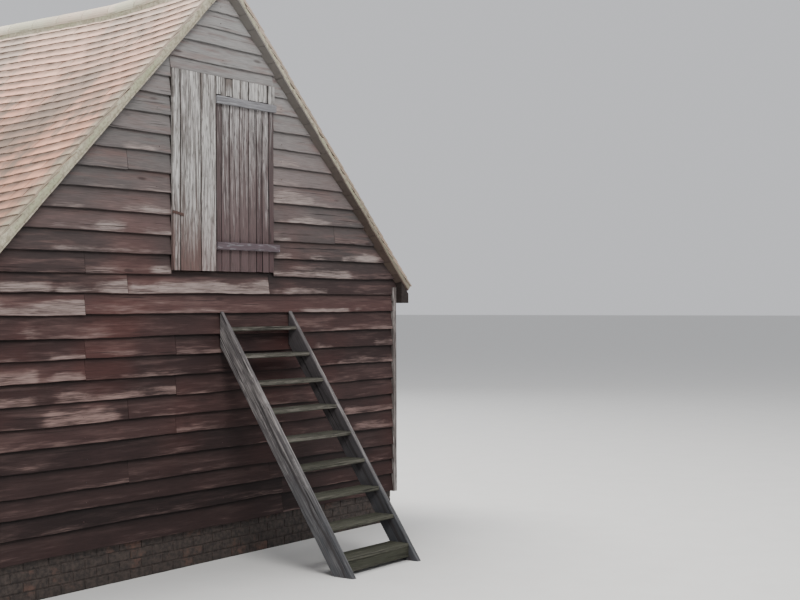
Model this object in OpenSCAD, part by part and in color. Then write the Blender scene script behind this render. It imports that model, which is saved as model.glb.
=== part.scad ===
// Oast house, stowage end: a weatherboarded timber frame on a brick plinth, with a plain tiled
// roof whose verges are tilted up, a boarded loading door to the loft, and loft steps.
// X runs across the gable, Y back from the front gable, Z up. The origin is at ground level
// in the middle of the front wall.

/* [Frame] */
// Width over the outer faces of the frame
frame_w = 4670; // [4200:10:5600]
// Centre to centre distance of the cross frames
bay_l = 2750; // [2200:50:3200]
// Number of bays
bays = 3; // [2:1:4]
// Height of the top of the wall plates above the ground
plate_top = 2140; // [1900:10:2400]
// Thickness of posts, plates and tie beams, measured through the wall
post_t = 150; // [120:5:200]
// Height of the sole plates and wall plates
plate_h = 100; // [80:5:140]
// Height of the tie beams
tie_h = 170; // [140:5:240]
// Width of a stud's face
stud_w = 80; // [60:5:110]
// Depth of a stud, measured through the wall
stud_t = 100; // [70:5:120]
// Number of studs between two posts of a side wall
side_studs_n = 3; // [2:1:4]

/* [Plinth] */
// Height of the brick plinth
plinth_h = 300; // [150:25:450]
// Thickness of the brick plinth
plinth_t = 225; // [215:5:330]

/* [Loft floor] */
// Thickness of the floor boards
floor_t = 30; // [20:1:40]
// Width of a floor joist
joist_w = 75; // [50:5:100]
// Height of a floor joist
joist_h = 110; // [90:5:140]
// Number of joists across the width
joists_n = 7; // [5:1:9]

/* [Roof] */
// Pitch of the roof in degrees
pitch = 44.7; // [40:0.1:50]
// Width of a rafter
rafter_w = 75; // [50:5:90]
// Depth of a rafter, square to the slope
rafter_d = 100; // [80:5:130]
// Width of the seat that a rafter has on its wall plate
rafter_seat = 40; // [25:5:60]
// Number of rafter spaces in a bay
rafter_spaces = 6; // [4:1:8]
// Distance of the rafter feet from the frame's outer face
rafter_tail = 70; // [60:5:110]
// Thickness of the ridge board
ridge_board_t = 30; // [20:1:40]
// Height of the ridge board
ridge_board_h = 160; // [130:5:200]
// Thickness of battens and tiles together, square to the slope
cover_t = 60; // [45:1:80]
// Distance of the lowest tile edge from the frame's outer face
eaves_over = 115; // [115:5:160]
// Distance of the verge from the boards of the gable
verge_over = 65; // [40:5:120]
// Height that the verge is tilted up, square to the slope
kick_rise = 107; // [60:1:140]
// Length of roof over which the tilt fades out
kick_len = 1450; // [900:50:1900]
// Thickness of the pale bed under the verge tiles
verge_bed_t = 26; // [15:1:40]
// Radius of the half round ridge tiles
ridge_r = 112; // [95:1:130]
// Length of a ridge tile
ridge_tile_l = 330; // [300:10:460]
// Width of the joint between two ridge tiles
ridge_joint = 4; // [2:1:8]
// Height of the ridge tiles' springing above the tiles beside them
ridge_bed = 38; // [20:1:60]
// Height of the collars above the loft floor
collar_up = 1450; // [1300:10:1600]
// Height of a collar
collar_h = 120; // [90:5:150]
// Thickness of a collar
collar_t = 50; // [38:1:75]
// Width of a purlin
purlin_w = 100; // [80:5:130]
// Thickness of the soffit boards
soffit_t = 22; // [15:1:30]
// Width of the blocks that close the ends of the eaves under the verges
eaves_block_w = 115; // [60:5:120]
// Distance of these blocks from the verge
eaves_block_in = 12; // [5:1:30]

/* [Boarding] */
// Thickness of the weatherboarding over its lower edges
board_t = 34; // [25:1:45]
// Thickness of the corner boards
corner_t = 52; // [35:1:60]
// Depth of the corner boards along the side wall
corner_d = 105; // [90:5:140]
// Distance that the corner boards stand in front of the boarding
corner_proud = 6; // [0:1:15]
// Distance that the boarding hangs below the top of the plinth
board_drop = 15; // [5:1:40]

/* [Loading door] */
// Width of the door opening
door_w = 1210; // [1000:10:1400]
// Distance of the door's middle from the middle of the gable
door_x = 15; // [-60:5:60]
// Distance of the opening's upper corner below the sloping top of the boarding
door_head_down = 120; // [80:5:300]
// Width of the fixed leaf on the left
fixed_leaf_w = 485; // [350:5:560]
// Thickness of the door boards
leaf_t = 28; // [20:1:35]
// Distance that the fixed leaf stands in front of the boarding
leaf_proud = 16; // [5:1:30]
// Gap between the fixed leaf and the hung leaf
leaf_gap = 20; // [15:5:90]
// Height of the short boards over the hung leaf
header_h = 155; // [120:5:260]
// Height of a door rail
rail_h = 62; // [50:2:100]
// Thickness of a door rail
rail_t = 30; // [20:1:40]
// Distance of the lower rail above the door's foot
low_rail_up = 175; // [100:5:260]

/* [Loft steps] */
// Distance of the steps' left side from the middle of the gable
steps_x = -50; // [-200:2:100]
// Width over both strings
steps_w = 900; // [760:2:1000]
// Slope of the strings in degrees
steps_angle = 56.15; // [50:0.05:62]
// Height at which the strings' front edges meet the boarding
steps_top = 2013; // [1800:1:2100]
// Thickness of a string
string_t = 45; // [30:1:55]
// Depth of a string, square to its slope
string_d = 178; // [140:2:200]
// Number of treads
treads_n = 9; // [7:1:9]
// Height of the lowest tread's top above the ground
first_rise = 140; // [120:2:220]
// Height from one tread to the next
rise = 218; // [200:1:222]
// Thickness of a tread
tread_t = 32; // [25:1:45]
// Depth of the housings that the treads' ends sit in
housing = 12; // [8:1:16]
// Height of the board under the lowest tread
foot_board_h = 80; // [50:2:110]
// Thickness of the board under the lowest tread
foot_board_t = 25; // [18:1:35]

/* [Hidden] */
// Clearance between pieces that lie on each other
seat_gap = 0.3;
// Points and power of the curve by which the verges tilt up
kick_steps = 10;
kick_power = 1.6;
// Distance that the pale bed ends short of the lowest tile edge
bed_short = 25;
// Spare length of what is cut off at the middle of the ridge
ridge_spare = 10;
// Share of half the gable's width at which its upper studs stand
gable_stud_share = 0.62;
// A length past the whole building
big = 20000;

half_w = frame_w / 2;
frame_l = bays * bay_l;
front_y = -post_t / 2;
back_y = frame_l + post_t / 2;
front_board_y = front_y - board_t;
back_board_y = back_y + board_t;
verge_y0 = front_board_y - verge_over;
verge_y1 = back_board_y + verge_over;
sole_top = plinth_h + plate_h;
plate_bottom = plate_top - plate_h;
tie_top = plate_top + tie_h;
floor_top = tie_top + floor_t;

// Heights of the roof's planes over the middle of the gable
rafter_apex = plate_top + (half_w - rafter_seat) * tan(pitch) + rafter_d / cos(pitch);
rafter_under_apex = rafter_apex - rafter_d / cos(pitch);
cover_apex = rafter_apex + cover_t / cos(pitch);
function z_at(apex, x) = apex - abs(x) * tan(pitch);

// The rafter feet: their plumb cut, and the level of their underside
foot_x = half_w + rafter_tail;
soffit_z = plate_top - rafter_seat * tan(pitch);

// Tilt of the verge, as a height square to the slope at a distance in from the verge
kick_table = [for (i = [0:kick_steps])
    [i * kick_len / kick_steps, kick_rise * pow(1 - i / kick_steps, kick_power)]];
function kick(d) = lookup(min(d, kick_len), kick_table);
function kick_y(y) = kick(min(y - verge_y0, verge_y1 - y));
board_top_up = kick_y(front_y) - verge_bed_t;

// A frame on one slope: X down the slope, Y as the building, Z out of the roof
module on_slope(side) {
    mirror([side < 0 ? 1 : 0, 0, 0])
        translate([0, 0, rafter_apex])
            rotate([0, pitch, 0])
                children();
}

// A strip along one slope, from a profile in the Y and Z of on_slope
module slope_strip(side, from_s, to_s, profile) {
    on_slope(side)
        translate([from_s, 0, 0])
            rotate([90, 0, 90])
                linear_extrude(height = to_s - from_s)
                    polygon(profile);
}

// A plate standing across the building, from an outline in X and Z
module cross_plate(y0, thickness, outline) {
    translate([0, y0 + thickness, 0])
        rotate([90, 0, 0])
            linear_extrude(height = thickness)
                polygon(outline);
}

// A box between two corners
module block(low, high) {
    translate(low) cube(high - low);
}

// Everything on one side of the middle
module side_half(side) {
    translate([side < 0 ? -big : 0, -big / 2, -big / 2]) cube(big);
}

module plinth_ends() {
    color("#3a312d") {
        block([-half_w, front_y, 0], [half_w, front_y + plinth_t, plinth_h]);
        block([-half_w, back_y - plinth_t, 0], [half_w, back_y, plinth_h]);
    }
}

module plinth_sides() {
    color("#3a312d")
        for (side = [-1, 1])
            mirror([side < 0 ? 1 : 0, 0, 0])
                block([half_w - plinth_t, front_y + plinth_t, 0], [half_w, back_y - plinth_t, plinth_h]);
}

module sole_plates() {
    color("#5f554a")
        for (side = [-1, 1])
            mirror([side < 0 ? 1 : 0, 0, 0])
                block([half_w - post_t, front_y, plinth_h], [half_w, back_y, sole_top]);
}

module end_sole_plates() {
    color("#5f554a")
        for (y = [front_y, back_y - post_t])
            block([-half_w + post_t, y, plinth_h], [half_w - post_t, y + post_t, sole_top]);
}

// A post of a side wall, at one cross frame
module side_post(i) {
    y = i * bay_l;
    for (side = [-1, 1])
        mirror([side < 0 ? 1 : 0, 0, 0])
            block([half_w - post_t, y - post_t / 2, sole_top], [half_w, y + post_t / 2, plate_bottom]);
}

module corner_posts() {
    color("#5f554a") {
        side_post(0);
        side_post(bays);
    }
}

module side_posts() {
    color("#5f554a")
        for (i = [1:bays - 1])
            side_post(i);
}

module side_studs() {
    clear_l = bay_l - post_t;
    pitch_y = clear_l / (side_studs_n + 1);
    color("#6a6054")
        for (bay = [0:bays - 1], k = [1:side_studs_n], side = [-1, 1]) {
            y = bay * bay_l + post_t / 2 + k * pitch_y;
            mirror([side < 0 ? 1 : 0, 0, 0])
                block([half_w - stud_t, y - stud_w / 2, sole_top], [half_w, y + stud_w / 2, plate_bottom]);
        }
}

// Places of the studs across a gable wall below the tie beam
end_stud_x = [for (k = [-2:2]) k * (frame_w - 2 * post_t) / 6];

module end_studs(y0) {
    color("#6a6054")
        for (x = end_stud_x)
            block([x - stud_w / 2, y0, sole_top], [x + stud_w / 2, y0 + stud_t, plate_top]);
}

module front_studs() {
    end_studs(front_y);
}

module back_studs() {
    end_studs(back_y - stud_t);
}

module wall_plates() {
    color("#5f554a")
        for (side = [-1, 1])
            mirror([side < 0 ? 1 : 0, 0, 0])
                block([half_w - post_t, front_y, plate_bottom], [half_w, back_y, plate_top]);
}

// The tie beams lie on the wall plates, with their ends cut to the underside of the rafters
module tie_beams() {
    foot_x = half_w - rafter_seat;
    end_x = (rafter_under_apex - tie_top) / tan(pitch);
    outline = [[-foot_x, plate_top], [foot_x, plate_top], [end_x, tie_top], [-end_x, tie_top]];
    color("#5f554a")
        for (i = [0:bays])
            cross_plate(i * bay_l - post_t / 2, post_t, outline);
}

// The joists lie between the tie beams, with their tops level
joist_reach = (rafter_under_apex - tie_top) / tan(pitch) - joist_w;

module floor_joists() {
    color("#6a6054")
        for (bay = [0:bays - 1], k = [0:joists_n - 1]) {
            x = -joist_reach + k * 2 * joist_reach / (joists_n - 1);
            y = bay * bay_l + post_t / 2;
            block([x - joist_w / 2, y, tie_top - joist_h],
                [x + joist_w / 2, y + bay_l - post_t, tie_top]);
        }
}

module loft_floor() {
    edge_x = (rafter_under_apex - floor_top) / tan(pitch) - seat_gap;
    color("#8a7a64")
        block([-edge_x, front_y + stud_t, tie_top], [edge_x, back_y - stud_t, floor_top]);
}

// Places of the studs of a gable above the tie beam, beside the door's own posts
gable_stud_x = half_w * gable_stud_share;

module gable_stud(x, y0) {
    under_apex = rafter_under_apex - seat_gap;
    outline = [[x - stud_w / 2, tie_top], [x + stud_w / 2, tie_top],
        [x + stud_w / 2, z_at(under_apex, x + stud_w / 2)],
        [x - stud_w / 2, z_at(under_apex, x - stud_w / 2)]];
    cross_plate(y0, stud_t, outline);
}

module front_gable_studs() {
    color("#6a6054")
        for (x = [-gable_stud_x, gable_stud_x])
            gable_stud(x, front_y);
}

module back_gable_studs() {
    color("#6a6054")
        for (x = [-gable_stud_x, -gable_stud_x / 2, gable_stud_x / 2, gable_stud_x])
            gable_stud(x, back_y - stud_t);
}

// Middle of a rafter couple: the end couples are flush with the gables, the others stand
// in the middle of their spaces, clear of the tie beams
rafter_space = bay_l / rafter_spaces;
rafters_n = bays * rafter_spaces + 1;
function rafter_y(i) = i == 0 ? front_y + rafter_w / 2 :
    i == rafters_n ? back_y - rafter_w / 2 : (i - 0.5) * rafter_space;

// The rafters on one side, cut plumb at the ridge board and at the foot, and seated on the plate
module rafters(side) {
    ridge_t = ridge_board_t / 2;
    outline = [[ridge_t, z_at(rafter_apex, ridge_t)], [foot_x, z_at(rafter_apex, foot_x)],
        [foot_x, soffit_z], [half_w, soffit_z], [half_w, plate_top],
        [half_w - rafter_seat, plate_top], [ridge_t, z_at(rafter_under_apex, ridge_t)]];
    color("#6a6054")
        mirror([side < 0 ? 1 : 0, 0, 0])
            for (i = [0:rafters_n])
                cross_plate(rafter_y(i) - rafter_w / 2, rafter_w, outline);
}

module rafters_left() {
    rafters(-1);
}

module rafters_right() {
    rafters(1);
}

module ridge_board() {
    top = z_at(rafter_apex, ridge_board_t / 2);
    color("#6a6054")
        block([-ridge_board_t / 2, front_y, top - ridge_board_h], [ridge_board_t / 2, back_y, top]);
}

// The purlins are clasped between the rafters and the collars
collar_z = floor_top + collar_up;

module purlin_section(side) {
    low_corner = rafter_d + purlin_w + 2 * seat_gap;
    s = (rafter_apex - collar_z - low_corner * cos(pitch)) / sin(pitch);
    on_slope(side)
        translate([s - purlin_w, front_y + stud_t, -low_corner + seat_gap])
            cube([purlin_w, frame_l + post_t - 2 * stud_t, purlin_w]);
}

module purlins() {
    color("#5f554a")
        for (side = [-1, 1])
            purlin_section(side);
}

// Collars nailed to the side of the rafter couples next to the cross frames
module collars() {
    top = collar_z;
    bottom = top - collar_h;
    outline = [[-(rafter_apex - top) / tan(pitch), top], [(rafter_apex - top) / tan(pitch), top],
        [(rafter_apex - bottom) / tan(pitch), bottom], [-(rafter_apex - bottom) / tan(pitch), bottom]];
    color("#6a6054")
        for (i = [1:bays - 1])
            cross_plate(i * bay_l + (rafter_space + rafter_w) / 2, collar_t, outline);
}

// Packers on the rafters near each verge, which tilt the battens up
module verge_packers() {
    couples = [for (k = [0:rafters_n]) if (rafter_y(k) + rafter_w < verge_y0 + kick_len) k];
    color("#6a6054")
        for (side = [-1, 1], end = [0, 1], k = couples) {
            y = rafter_y(end == 0 ? k : rafters_n - k);
            y0 = y - rafter_w / 2;
            y1 = y + rafter_w / 2;
            profile = [[y0, 0], [y1, 0], [y1, kick_y(y1) - seat_gap], [y0, kick_y(y0) - seat_gap]];
            slope_strip(side, ridge_board_t, foot_x / cos(pitch), profile);
        }
}

// Section of the roof covering, from verge to verge: the underside follows the tilt
cover_under = concat([for (p = kick_table) [verge_y0 + p[0], p[1]]],
    [for (i = [kick_steps:-1:0]) [verge_y1 - kick_table[i][0], kick_table[i][1]]]);
function raised(points, up) = [for (p = points) [p[0], p[1] + up]];
function reversed(points) = [for (i = [len(points) - 1:-1:0]) points[i]];

module roof_cover(side) {
    over_ridge = (kick_rise + cover_t) * tan(pitch) + ridge_spare;
    eaves_s = (half_w + eaves_over) / cos(pitch);
    intersection() {
        slope_strip(side, -over_ridge, eaves_s,
            concat(cover_under, reversed(raised(cover_under, cover_t))));
        side_half(side);
    }
}

module roof_left() {
    color("#9c6f58") roof_cover(-1);
}

module roof_right() {
    color("#9c6f58") roof_cover(1);
}

// The pale bed under the verge tiles: it lies on the boarding and runs out to the verge
module verge_bed(y_out, y_board, y_frame) {
    profile = [[y_out, kick(0) - verge_bed_t], [y_board, board_top_up], [y_frame, board_top_up],
        [y_frame, kick_y(y_frame) - seat_gap], [y_out, kick(0) - seat_gap]];
    over_ridge = kick_rise * tan(pitch);
    eaves_s = (half_w + eaves_over) / cos(pitch) - bed_short;
    color("#b9b3a0")
        for (side = [-1, 1])
            intersection() {
                slope_strip(side, -over_ridge, eaves_s, profile);
                side_half(side);
            }
}

module front_verge() {
    verge_bed(verge_y0, front_board_y, front_y);
}

module back_verge() {
    verge_bed(verge_y1, back_board_y, back_y);
}

// Half round ridge tiles laid end to end along the tilted ridge, each on its own bed of mortar
// that is cut to the covering under it
ridge_tiles_n = round((verge_y1 - verge_y0) / ridge_tile_l);
function ridge_y(i) = verge_y0 + i * (verge_y1 - verge_y0) / ridge_tiles_n;
function ridge_z(y) = cover_apex + kick_y(y) / cos(pitch);
springing = ridge_bed - ridge_r * tan(pitch);

// A half round tile and its bed, tilted along the ridge and with plumb ends
module ridge_tile(y0, y1) {
    slope = atan2(ridge_z(y1) - ridge_z(y0), y1 - y0);
    spare = ridge_r;
    run = (y1 - y0) / cos(slope) + 2 * spare;
    bed_deep = 2 * ridge_r;
    intersection() {
        translate([0, y0, ridge_z(y0) + springing])
            rotate([slope, 0, 0])
                translate([0, -spare, 0])
                    union() {
                        rotate([0, 90, 90]) cylinder(r = ridge_r, h = run, $fn = 48);
                        translate([-ridge_r, 0, -bed_deep]) cube([2 * ridge_r, run, bed_deep]);
                    }
        block([-2 * ridge_r, y0 + ridge_joint / 2, 0], [2 * ridge_r, y1 - ridge_joint / 2, big]);
    }
}

// The space under the ridge tiles on one side, up to the top of the covering
module ridge_seat(side) {
    reach = 4 * ridge_r;
    seat = raised(cover_under, cover_t + seat_gap);
    intersection() {
        slope_strip(side, -reach, reach, concat([[verge_y0 - ridge_r, seat[0][1]]], seat,
            [[verge_y1 + ridge_r, seat[0][1]], [verge_y1 + ridge_r, -reach],
                [verge_y0 - ridge_r, -reach]]));
        side_half(side);
    }
}

module ridge_tiles() {
    color("#a08a6c")
        for (i = [0:ridge_tiles_n - 1])
            difference() {
                ridge_tile(ridge_y(i), ridge_y(i + 1));
                ridge_seat(-1);
                ridge_seat(1);
            }
}

// A block that closes one end of the eaves, cut to the underside of the verge's bed
module eaves_block(side, y_verge, y_board, y_frame) {
    y_out = y_verge + sign(y_board - y_verge) * eaves_block_in;
    under_bed = [[y_verge, kick(0) - verge_bed_t - seat_gap], [y_board, board_top_up - seat_gap],
        [y_frame, board_top_up - seat_gap], [y_frame, -eaves_over], [y_verge, -eaves_over]];
    intersection() {
        slope_strip(side, 0, 2 * half_w, under_bed);
        mirror([side < 0 ? 1 : 0, 0, 0])
            block([foot_x + seat_gap, min(y_out, y_frame), soffit_z - soffit_t],
                [foot_x + eaves_block_w, max(y_out, y_frame), tie_top]);
    }
}

// Soffit boards under the rafter feet, on top of the side walls' boarding, and the blocks
// at the ends of the eaves
module soffit_boards() {
    color("#4a4038")
        for (side = [-1, 1]) {
            mirror([side < 0 ? 1 : 0, 0, 0])
                block([half_w, front_board_y, soffit_z - soffit_t], [foot_x, back_board_y, soffit_z]);
            eaves_block(side, verge_y0, front_board_y, front_y);
            eaves_block(side, verge_y1, back_board_y, back_y);
        }
}

// Outline of a gable's boarding, up to the verge bed and out over the ends of the eaves
gable_apex = rafter_apex + board_top_up / cos(pitch);
gable_foot = plinth_h - board_drop;
gable_half = [[0, gable_apex], [foot_x, z_at(gable_apex, foot_x)], [foot_x, soffit_z],
    [half_w, soffit_z], [half_w, gable_foot]];
gable_outline = concat(gable_half, [for (p = reversed(gable_half)) [-p[0], p[1]]]);

door_left = door_x - door_w / 2;
door_right = door_x + door_w / 2;
door_bottom = floor_top;
door_top = z_at(gable_apex, max(-door_left, door_right)) - door_head_down;

module front_panel(outline) {
    color("#40342f")
        intersection() {
            cross_plate(front_board_y, board_t, outline);
            cross_plate(front_board_y, board_t, gable_outline);
        }
}

module front_wall_lower() {
    front_panel([[-big, 0], [big, 0], [big, door_bottom], [-big, door_bottom]]);
}

module front_wall_left() {
    front_panel([[-big, door_bottom], [door_left, door_bottom], [door_left, big], [-big, big]]);
}

module front_wall_right() {
    front_panel([[door_right, door_bottom], [big, door_bottom], [big, big], [door_right, big]]);
}

module front_wall_top() {
    front_panel([[door_left, door_top], [door_right, door_top], [door_right, big], [door_left, big]]);
}

module back_wall() {
    color("#40342f")
        cross_plate(back_y, board_t, gable_outline);
}

// Boarding of a side wall, between the corner boards and up to the eaves
module side_wall(side) {
    color("#40342f")
        mirror([side < 0 ? 1 : 0, 0, 0])
            block([half_w, front_y + corner_d, gable_foot],
                [half_w + board_t, back_y - corner_d, soffit_z - soffit_t]);
}

module left_wall() {
    side_wall(-1);
}

module right_wall() {
    side_wall(1);
}

module corner_boards() {
    color("#8d857a")
        for (side = [-1, 1])
            mirror([side < 0 ? 1 : 0, 0, 0]) {
                block([half_w, front_board_y - corner_proud, gable_foot],
                    [half_w + corner_t, front_y + corner_d, soffit_z - soffit_t]);
                block([half_w, back_y - corner_d, gable_foot],
                    [half_w + corner_t, back_board_y + corner_proud, soffit_z - soffit_t]);
            }
}

// The loading door: a fixed leaf and short boards on ledges, a hung leaf flush with the
// boarding, and two rails on the boarding's face
leaf_front_y = front_board_y - leaf_proud;
leaf_back_y = leaf_front_y + leaf_t;
fixed_right = door_left + fixed_leaf_w;
hung_left = fixed_right + leaf_gap;
header_bottom = door_top - header_h;

module fixed_leaf() {
    ledge_z = [door_bottom + low_rail_up, header_bottom - rail_h];
    color("#9a938c")
        union() {
            block([door_left, leaf_front_y, door_bottom], [fixed_right, leaf_back_y, door_top]);
            for (z = ledge_z)
                block([door_left, leaf_back_y, z], [fixed_right, front_y, z + rail_h]);
        }
}

module door_header() {
    color("#8f8780")
        union() {
            block([fixed_right, leaf_front_y, header_bottom], [door_right, leaf_back_y, door_top]);
            block([fixed_right, leaf_back_y, header_bottom], [door_right, front_y, header_bottom + rail_h]);
        }
}

module hung_leaf() {
    color("#857b76")
        block([hung_left, front_board_y, door_bottom], [door_right, front_y, header_bottom]);
}

module door_rail(x1, z) {
    color("#5d6168")
        block([fixed_right, front_board_y - rail_t, z], [x1, front_board_y, z + rail_h]);
}

module upper_rail() {
    door_rail(door_right, header_bottom - rail_h);
}

module lower_rail() {
    door_rail(door_right + stud_w / 2, door_bottom + low_rail_up);
}

// Posts beside the door opening and behind the gap between the leaves
module door_posts() {
    post_x = [door_left, fixed_right + leaf_gap / 2, door_right];
    color("#3d342f")
        for (x = post_x)
            gable_stud(x, front_y);
}

// The loft steps: two housed strings leaning on the boarding, and open treads
wall_y = front_board_y;
slope_out = tan(90 - steps_angle);
function edge_y(z) = wall_y - (steps_top - z) * slope_out;
string_level = string_d / sin(steps_angle);
tread_z = [for (k = [0:treads_n - 1]) first_rise + k * rise];
tread_x0 = steps_x + string_t - housing;
tread_x1 = steps_x + steps_w - string_t + housing;

// A string in the Y and Z plane, cut plumb at the wall and level at the ground
module string_outline() {
    polygon([[edge_y(0), 0], [edge_y(0) + string_level, 0],
        [wall_y, steps_top - string_level / slope_out], [wall_y, steps_top]]);
}

module tread_solid(z, x0, x1, grow) {
    y0 = edge_y(z);
    y1 = min(y0 + string_level, wall_y);
    block([x0, y0 - grow, z - tread_t - grow], [x1, y1 + grow, z + grow]);
}

module steps_string(x) {
    color("#77767a")
        difference() {
            translate([x, 0, 0])
                rotate([90, 0, 90])
                    linear_extrude(height = string_t)
                        string_outline();
            for (z = tread_z)
                tread_solid(z, tread_x0, tread_x1, seat_gap);
        }
}

module left_string() {
    steps_string(steps_x);
}

module right_string() {
    steps_string(steps_x + steps_w - string_t);
}

module treads() {
    color("#6b6a58")
        for (z = tread_z)
            tread_solid(z, tread_x0 + seat_gap, tread_x1 - seat_gap, 0);
}

// The board under the lowest tread, between the strings and flush with that tread's edge
module foot_board() {
    y0 = edge_y(first_rise);
    top = first_rise - tread_t;
    color("#6b6a58")
        block([steps_x + string_t + seat_gap, y0, top - foot_board_h],
            [steps_x + steps_w - string_t - seat_gap, y0 + foot_board_t, top]);
}

plinth_ends();
plinth_sides();
sole_plates();
end_sole_plates();
corner_posts();
side_posts();
side_studs();
front_studs();
back_studs();
wall_plates();
tie_beams();
floor_joists();
loft_floor();
front_gable_studs();
back_gable_studs();
rafters_left();
rafters_right();
collars();
purlins();
ridge_board();
verge_packers();
roof_left();
roof_right();
front_verge();
back_verge();
ridge_tiles();
soffit_boards();
front_wall_lower();
front_wall_left();
front_wall_right();
front_wall_top();
back_wall();
left_wall();
right_wall();
corner_boards();
fixed_leaf();
door_header();
hung_leaf();
upper_rail();
lower_rail();
door_posts();
left_string();
right_string();
treads();
foot_board();
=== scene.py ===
# Oast house stowage: tarred weatherboards, plain tiles with tilted verges, loading door and loft steps
import math
import random

import bmesh
import bpy
import numpy as np
from mathutils import Matrix, Vector, noise


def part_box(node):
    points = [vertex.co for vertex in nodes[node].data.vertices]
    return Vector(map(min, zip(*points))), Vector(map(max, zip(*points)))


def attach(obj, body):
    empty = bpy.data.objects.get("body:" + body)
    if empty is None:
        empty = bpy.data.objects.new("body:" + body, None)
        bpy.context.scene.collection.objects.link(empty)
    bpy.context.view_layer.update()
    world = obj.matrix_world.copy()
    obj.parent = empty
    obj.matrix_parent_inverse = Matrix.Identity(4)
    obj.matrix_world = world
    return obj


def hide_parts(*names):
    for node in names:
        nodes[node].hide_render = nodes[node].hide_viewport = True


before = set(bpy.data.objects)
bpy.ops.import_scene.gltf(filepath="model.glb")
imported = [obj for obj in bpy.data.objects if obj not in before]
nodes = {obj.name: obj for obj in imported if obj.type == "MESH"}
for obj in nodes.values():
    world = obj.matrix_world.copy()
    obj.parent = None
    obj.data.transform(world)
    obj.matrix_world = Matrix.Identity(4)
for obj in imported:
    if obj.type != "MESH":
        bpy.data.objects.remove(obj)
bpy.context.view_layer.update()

roofSet = {
    "pitch": 44.7,  # degrees
    "cover": 0.060,  # battens and tiles, square to the slope
    "eavesOver": 0.115,  # tiles past the frame, level
    "soffit": 0.022,
    "vergeRise": 0.107,
    "tiltLength": 1.45,
    "tiltPower": 1.6,
}
pitch = math.radians(roofSet["pitch"])

# Heights and edges of the building, read from the frame
soleLow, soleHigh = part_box("sole_plates")
coverLow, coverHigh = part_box("roof_left")
wallLow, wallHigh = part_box("front_wall_lower")
halfWide = soleHigh.x
frameFront, frameBack = soleLow.y, soleHigh.y
boardFront = wallLow.y
boardDeep = frameFront - boardFront
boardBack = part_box("back_wall")[1].y
wallFoot = wallLow.z
eavesOut = wallHigh.x
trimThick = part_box("corner_boards")[1].x - halfWide
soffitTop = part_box("soffit_boards")[0].z + roofSet["soffit"]
vergeFront, vergeBack = coverLow.y, coverHigh.y
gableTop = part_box("front_wall_top")[1].z
doorLow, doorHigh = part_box("fixed_leaf")
doorFoot, doorHead = doorLow.z, doorHigh.z
doorLeft, doorRight = doorLow.x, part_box("hung_leaf")[1].x
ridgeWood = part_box("ridge_board")
rafterApex = ridgeWood[1].z + ridgeWood[1].x * math.tan(pitch)


class Sock:
    # a node's output, with arithmetic that adds Math nodes
    def __init__(self, graph, socket):
        self.graph = graph
        self.socket = socket

    def calc(self, operation, *others):
        inputs = {i: v for i, v in enumerate((self,) + others)}
        return self.graph.node("ShaderNodeMath", {"operation": operation}, inputs)

    def turned(self, operation, other):
        return self.graph.node("ShaderNodeMath", {"operation": operation}, {0: other, 1: self})

    def __add__(self, other):
        return self.calc("ADD", other)

    def __sub__(self, other):
        return self.calc("SUBTRACT", other)

    def __rsub__(self, other):
        return self.turned("SUBTRACT", other)

    def __mul__(self, other):
        return self.calc("MULTIPLY", other)

    def __truediv__(self, other):
        return self.calc("DIVIDE", other)

    def __pow__(self, other):
        return self.calc("POWER", other)

    __radd__ = __add__
    __rmul__ = __mul__

    def scaled(self, x, y, z):
        return self.graph.node("ShaderNodeVectorMath", {"operation": "MULTIPLY"}, {0: self, 1: (x, y, z)})

    def part(self, axis):
        return self.graph.node("ShaderNodeSeparateXYZ", {}, {0: self}, axis)


class Graph:
    # adds nodes to a shader tree or a geometry tree
    def __init__(self, tree):
        self.tree = tree

    def node(self, kind, settings=None, inputs=None, output=0):
        made = self.tree.nodes.new(kind)
        for name, value in (settings or {}).items():
            if name != "stops":
                setattr(made, name, value)
                continue
            ramp = made.color_ramp.elements
            while len(ramp) < len(value):
                ramp.new(0.5)
            for stop, (place, colour) in zip(ramp, value):
                stop.position, stop.color = place, (*colour, 1)
        for key, value in (inputs or {}).items():
            if isinstance(value, Sock):
                self.tree.links.new(value.socket, made.inputs[key])
            else:
                made.inputs[key].default_value = value
        return Sock(self, made.outputs[output]) if len(made.outputs) else None

    def place(self):
        return self.node("ShaderNodeTexCoord", output=3)

    def read(self, name, output=1):
        return self.node("ShaderNodeAttribute", {"attribute_name": name}, output=output)

    def noise(self, vector, scale, detail=3.0, rough=0.55):
        return self.node("ShaderNodeTexNoise", {}, {"Vector": vector, "Scale": scale, "Detail": detail,
                                                    "Roughness": rough})

    def step(self, value, low, high, start=0.0, end=1.0):
        return self.node("ShaderNodeMapRange", {"interpolation_type": "SMOOTHSTEP"},
                         {0: value, 1: low, 2: high, 3: start, 4: end})

    def mix(self, factor, first, second, blend="MIX"):
        first, second = [v if isinstance(v, Sock) else (*v, 1) for v in (first, second)]
        return self.node("ShaderNodeMix", {"data_type": "RGBA", "blend_type": blend},
                         {0: factor, 6: first, 7: second}, 2)

    def vector(self, x, y, z):
        return self.node("ShaderNodeCombineXYZ", {}, {0: x, 1: y, 2: z})

    # lays a second colour over the first as the value goes from low to high
    def wash(self, colour, over, value, low, high, strength=1.0):
        return self.mix(self.step(value, low, high, 0.0, strength), colour, over)

    def darken(self, colour, factor):
        return self.mix(1.0, colour, self.vector(factor, factor, factor), "MULTIPLY")


def newFinish(name):
    material = bpy.data.materials.new(name)
    material.use_nodes = True
    material.node_tree.nodes.clear()
    graph = Graph(material.node_tree)
    graph.material = material
    return graph


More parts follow.
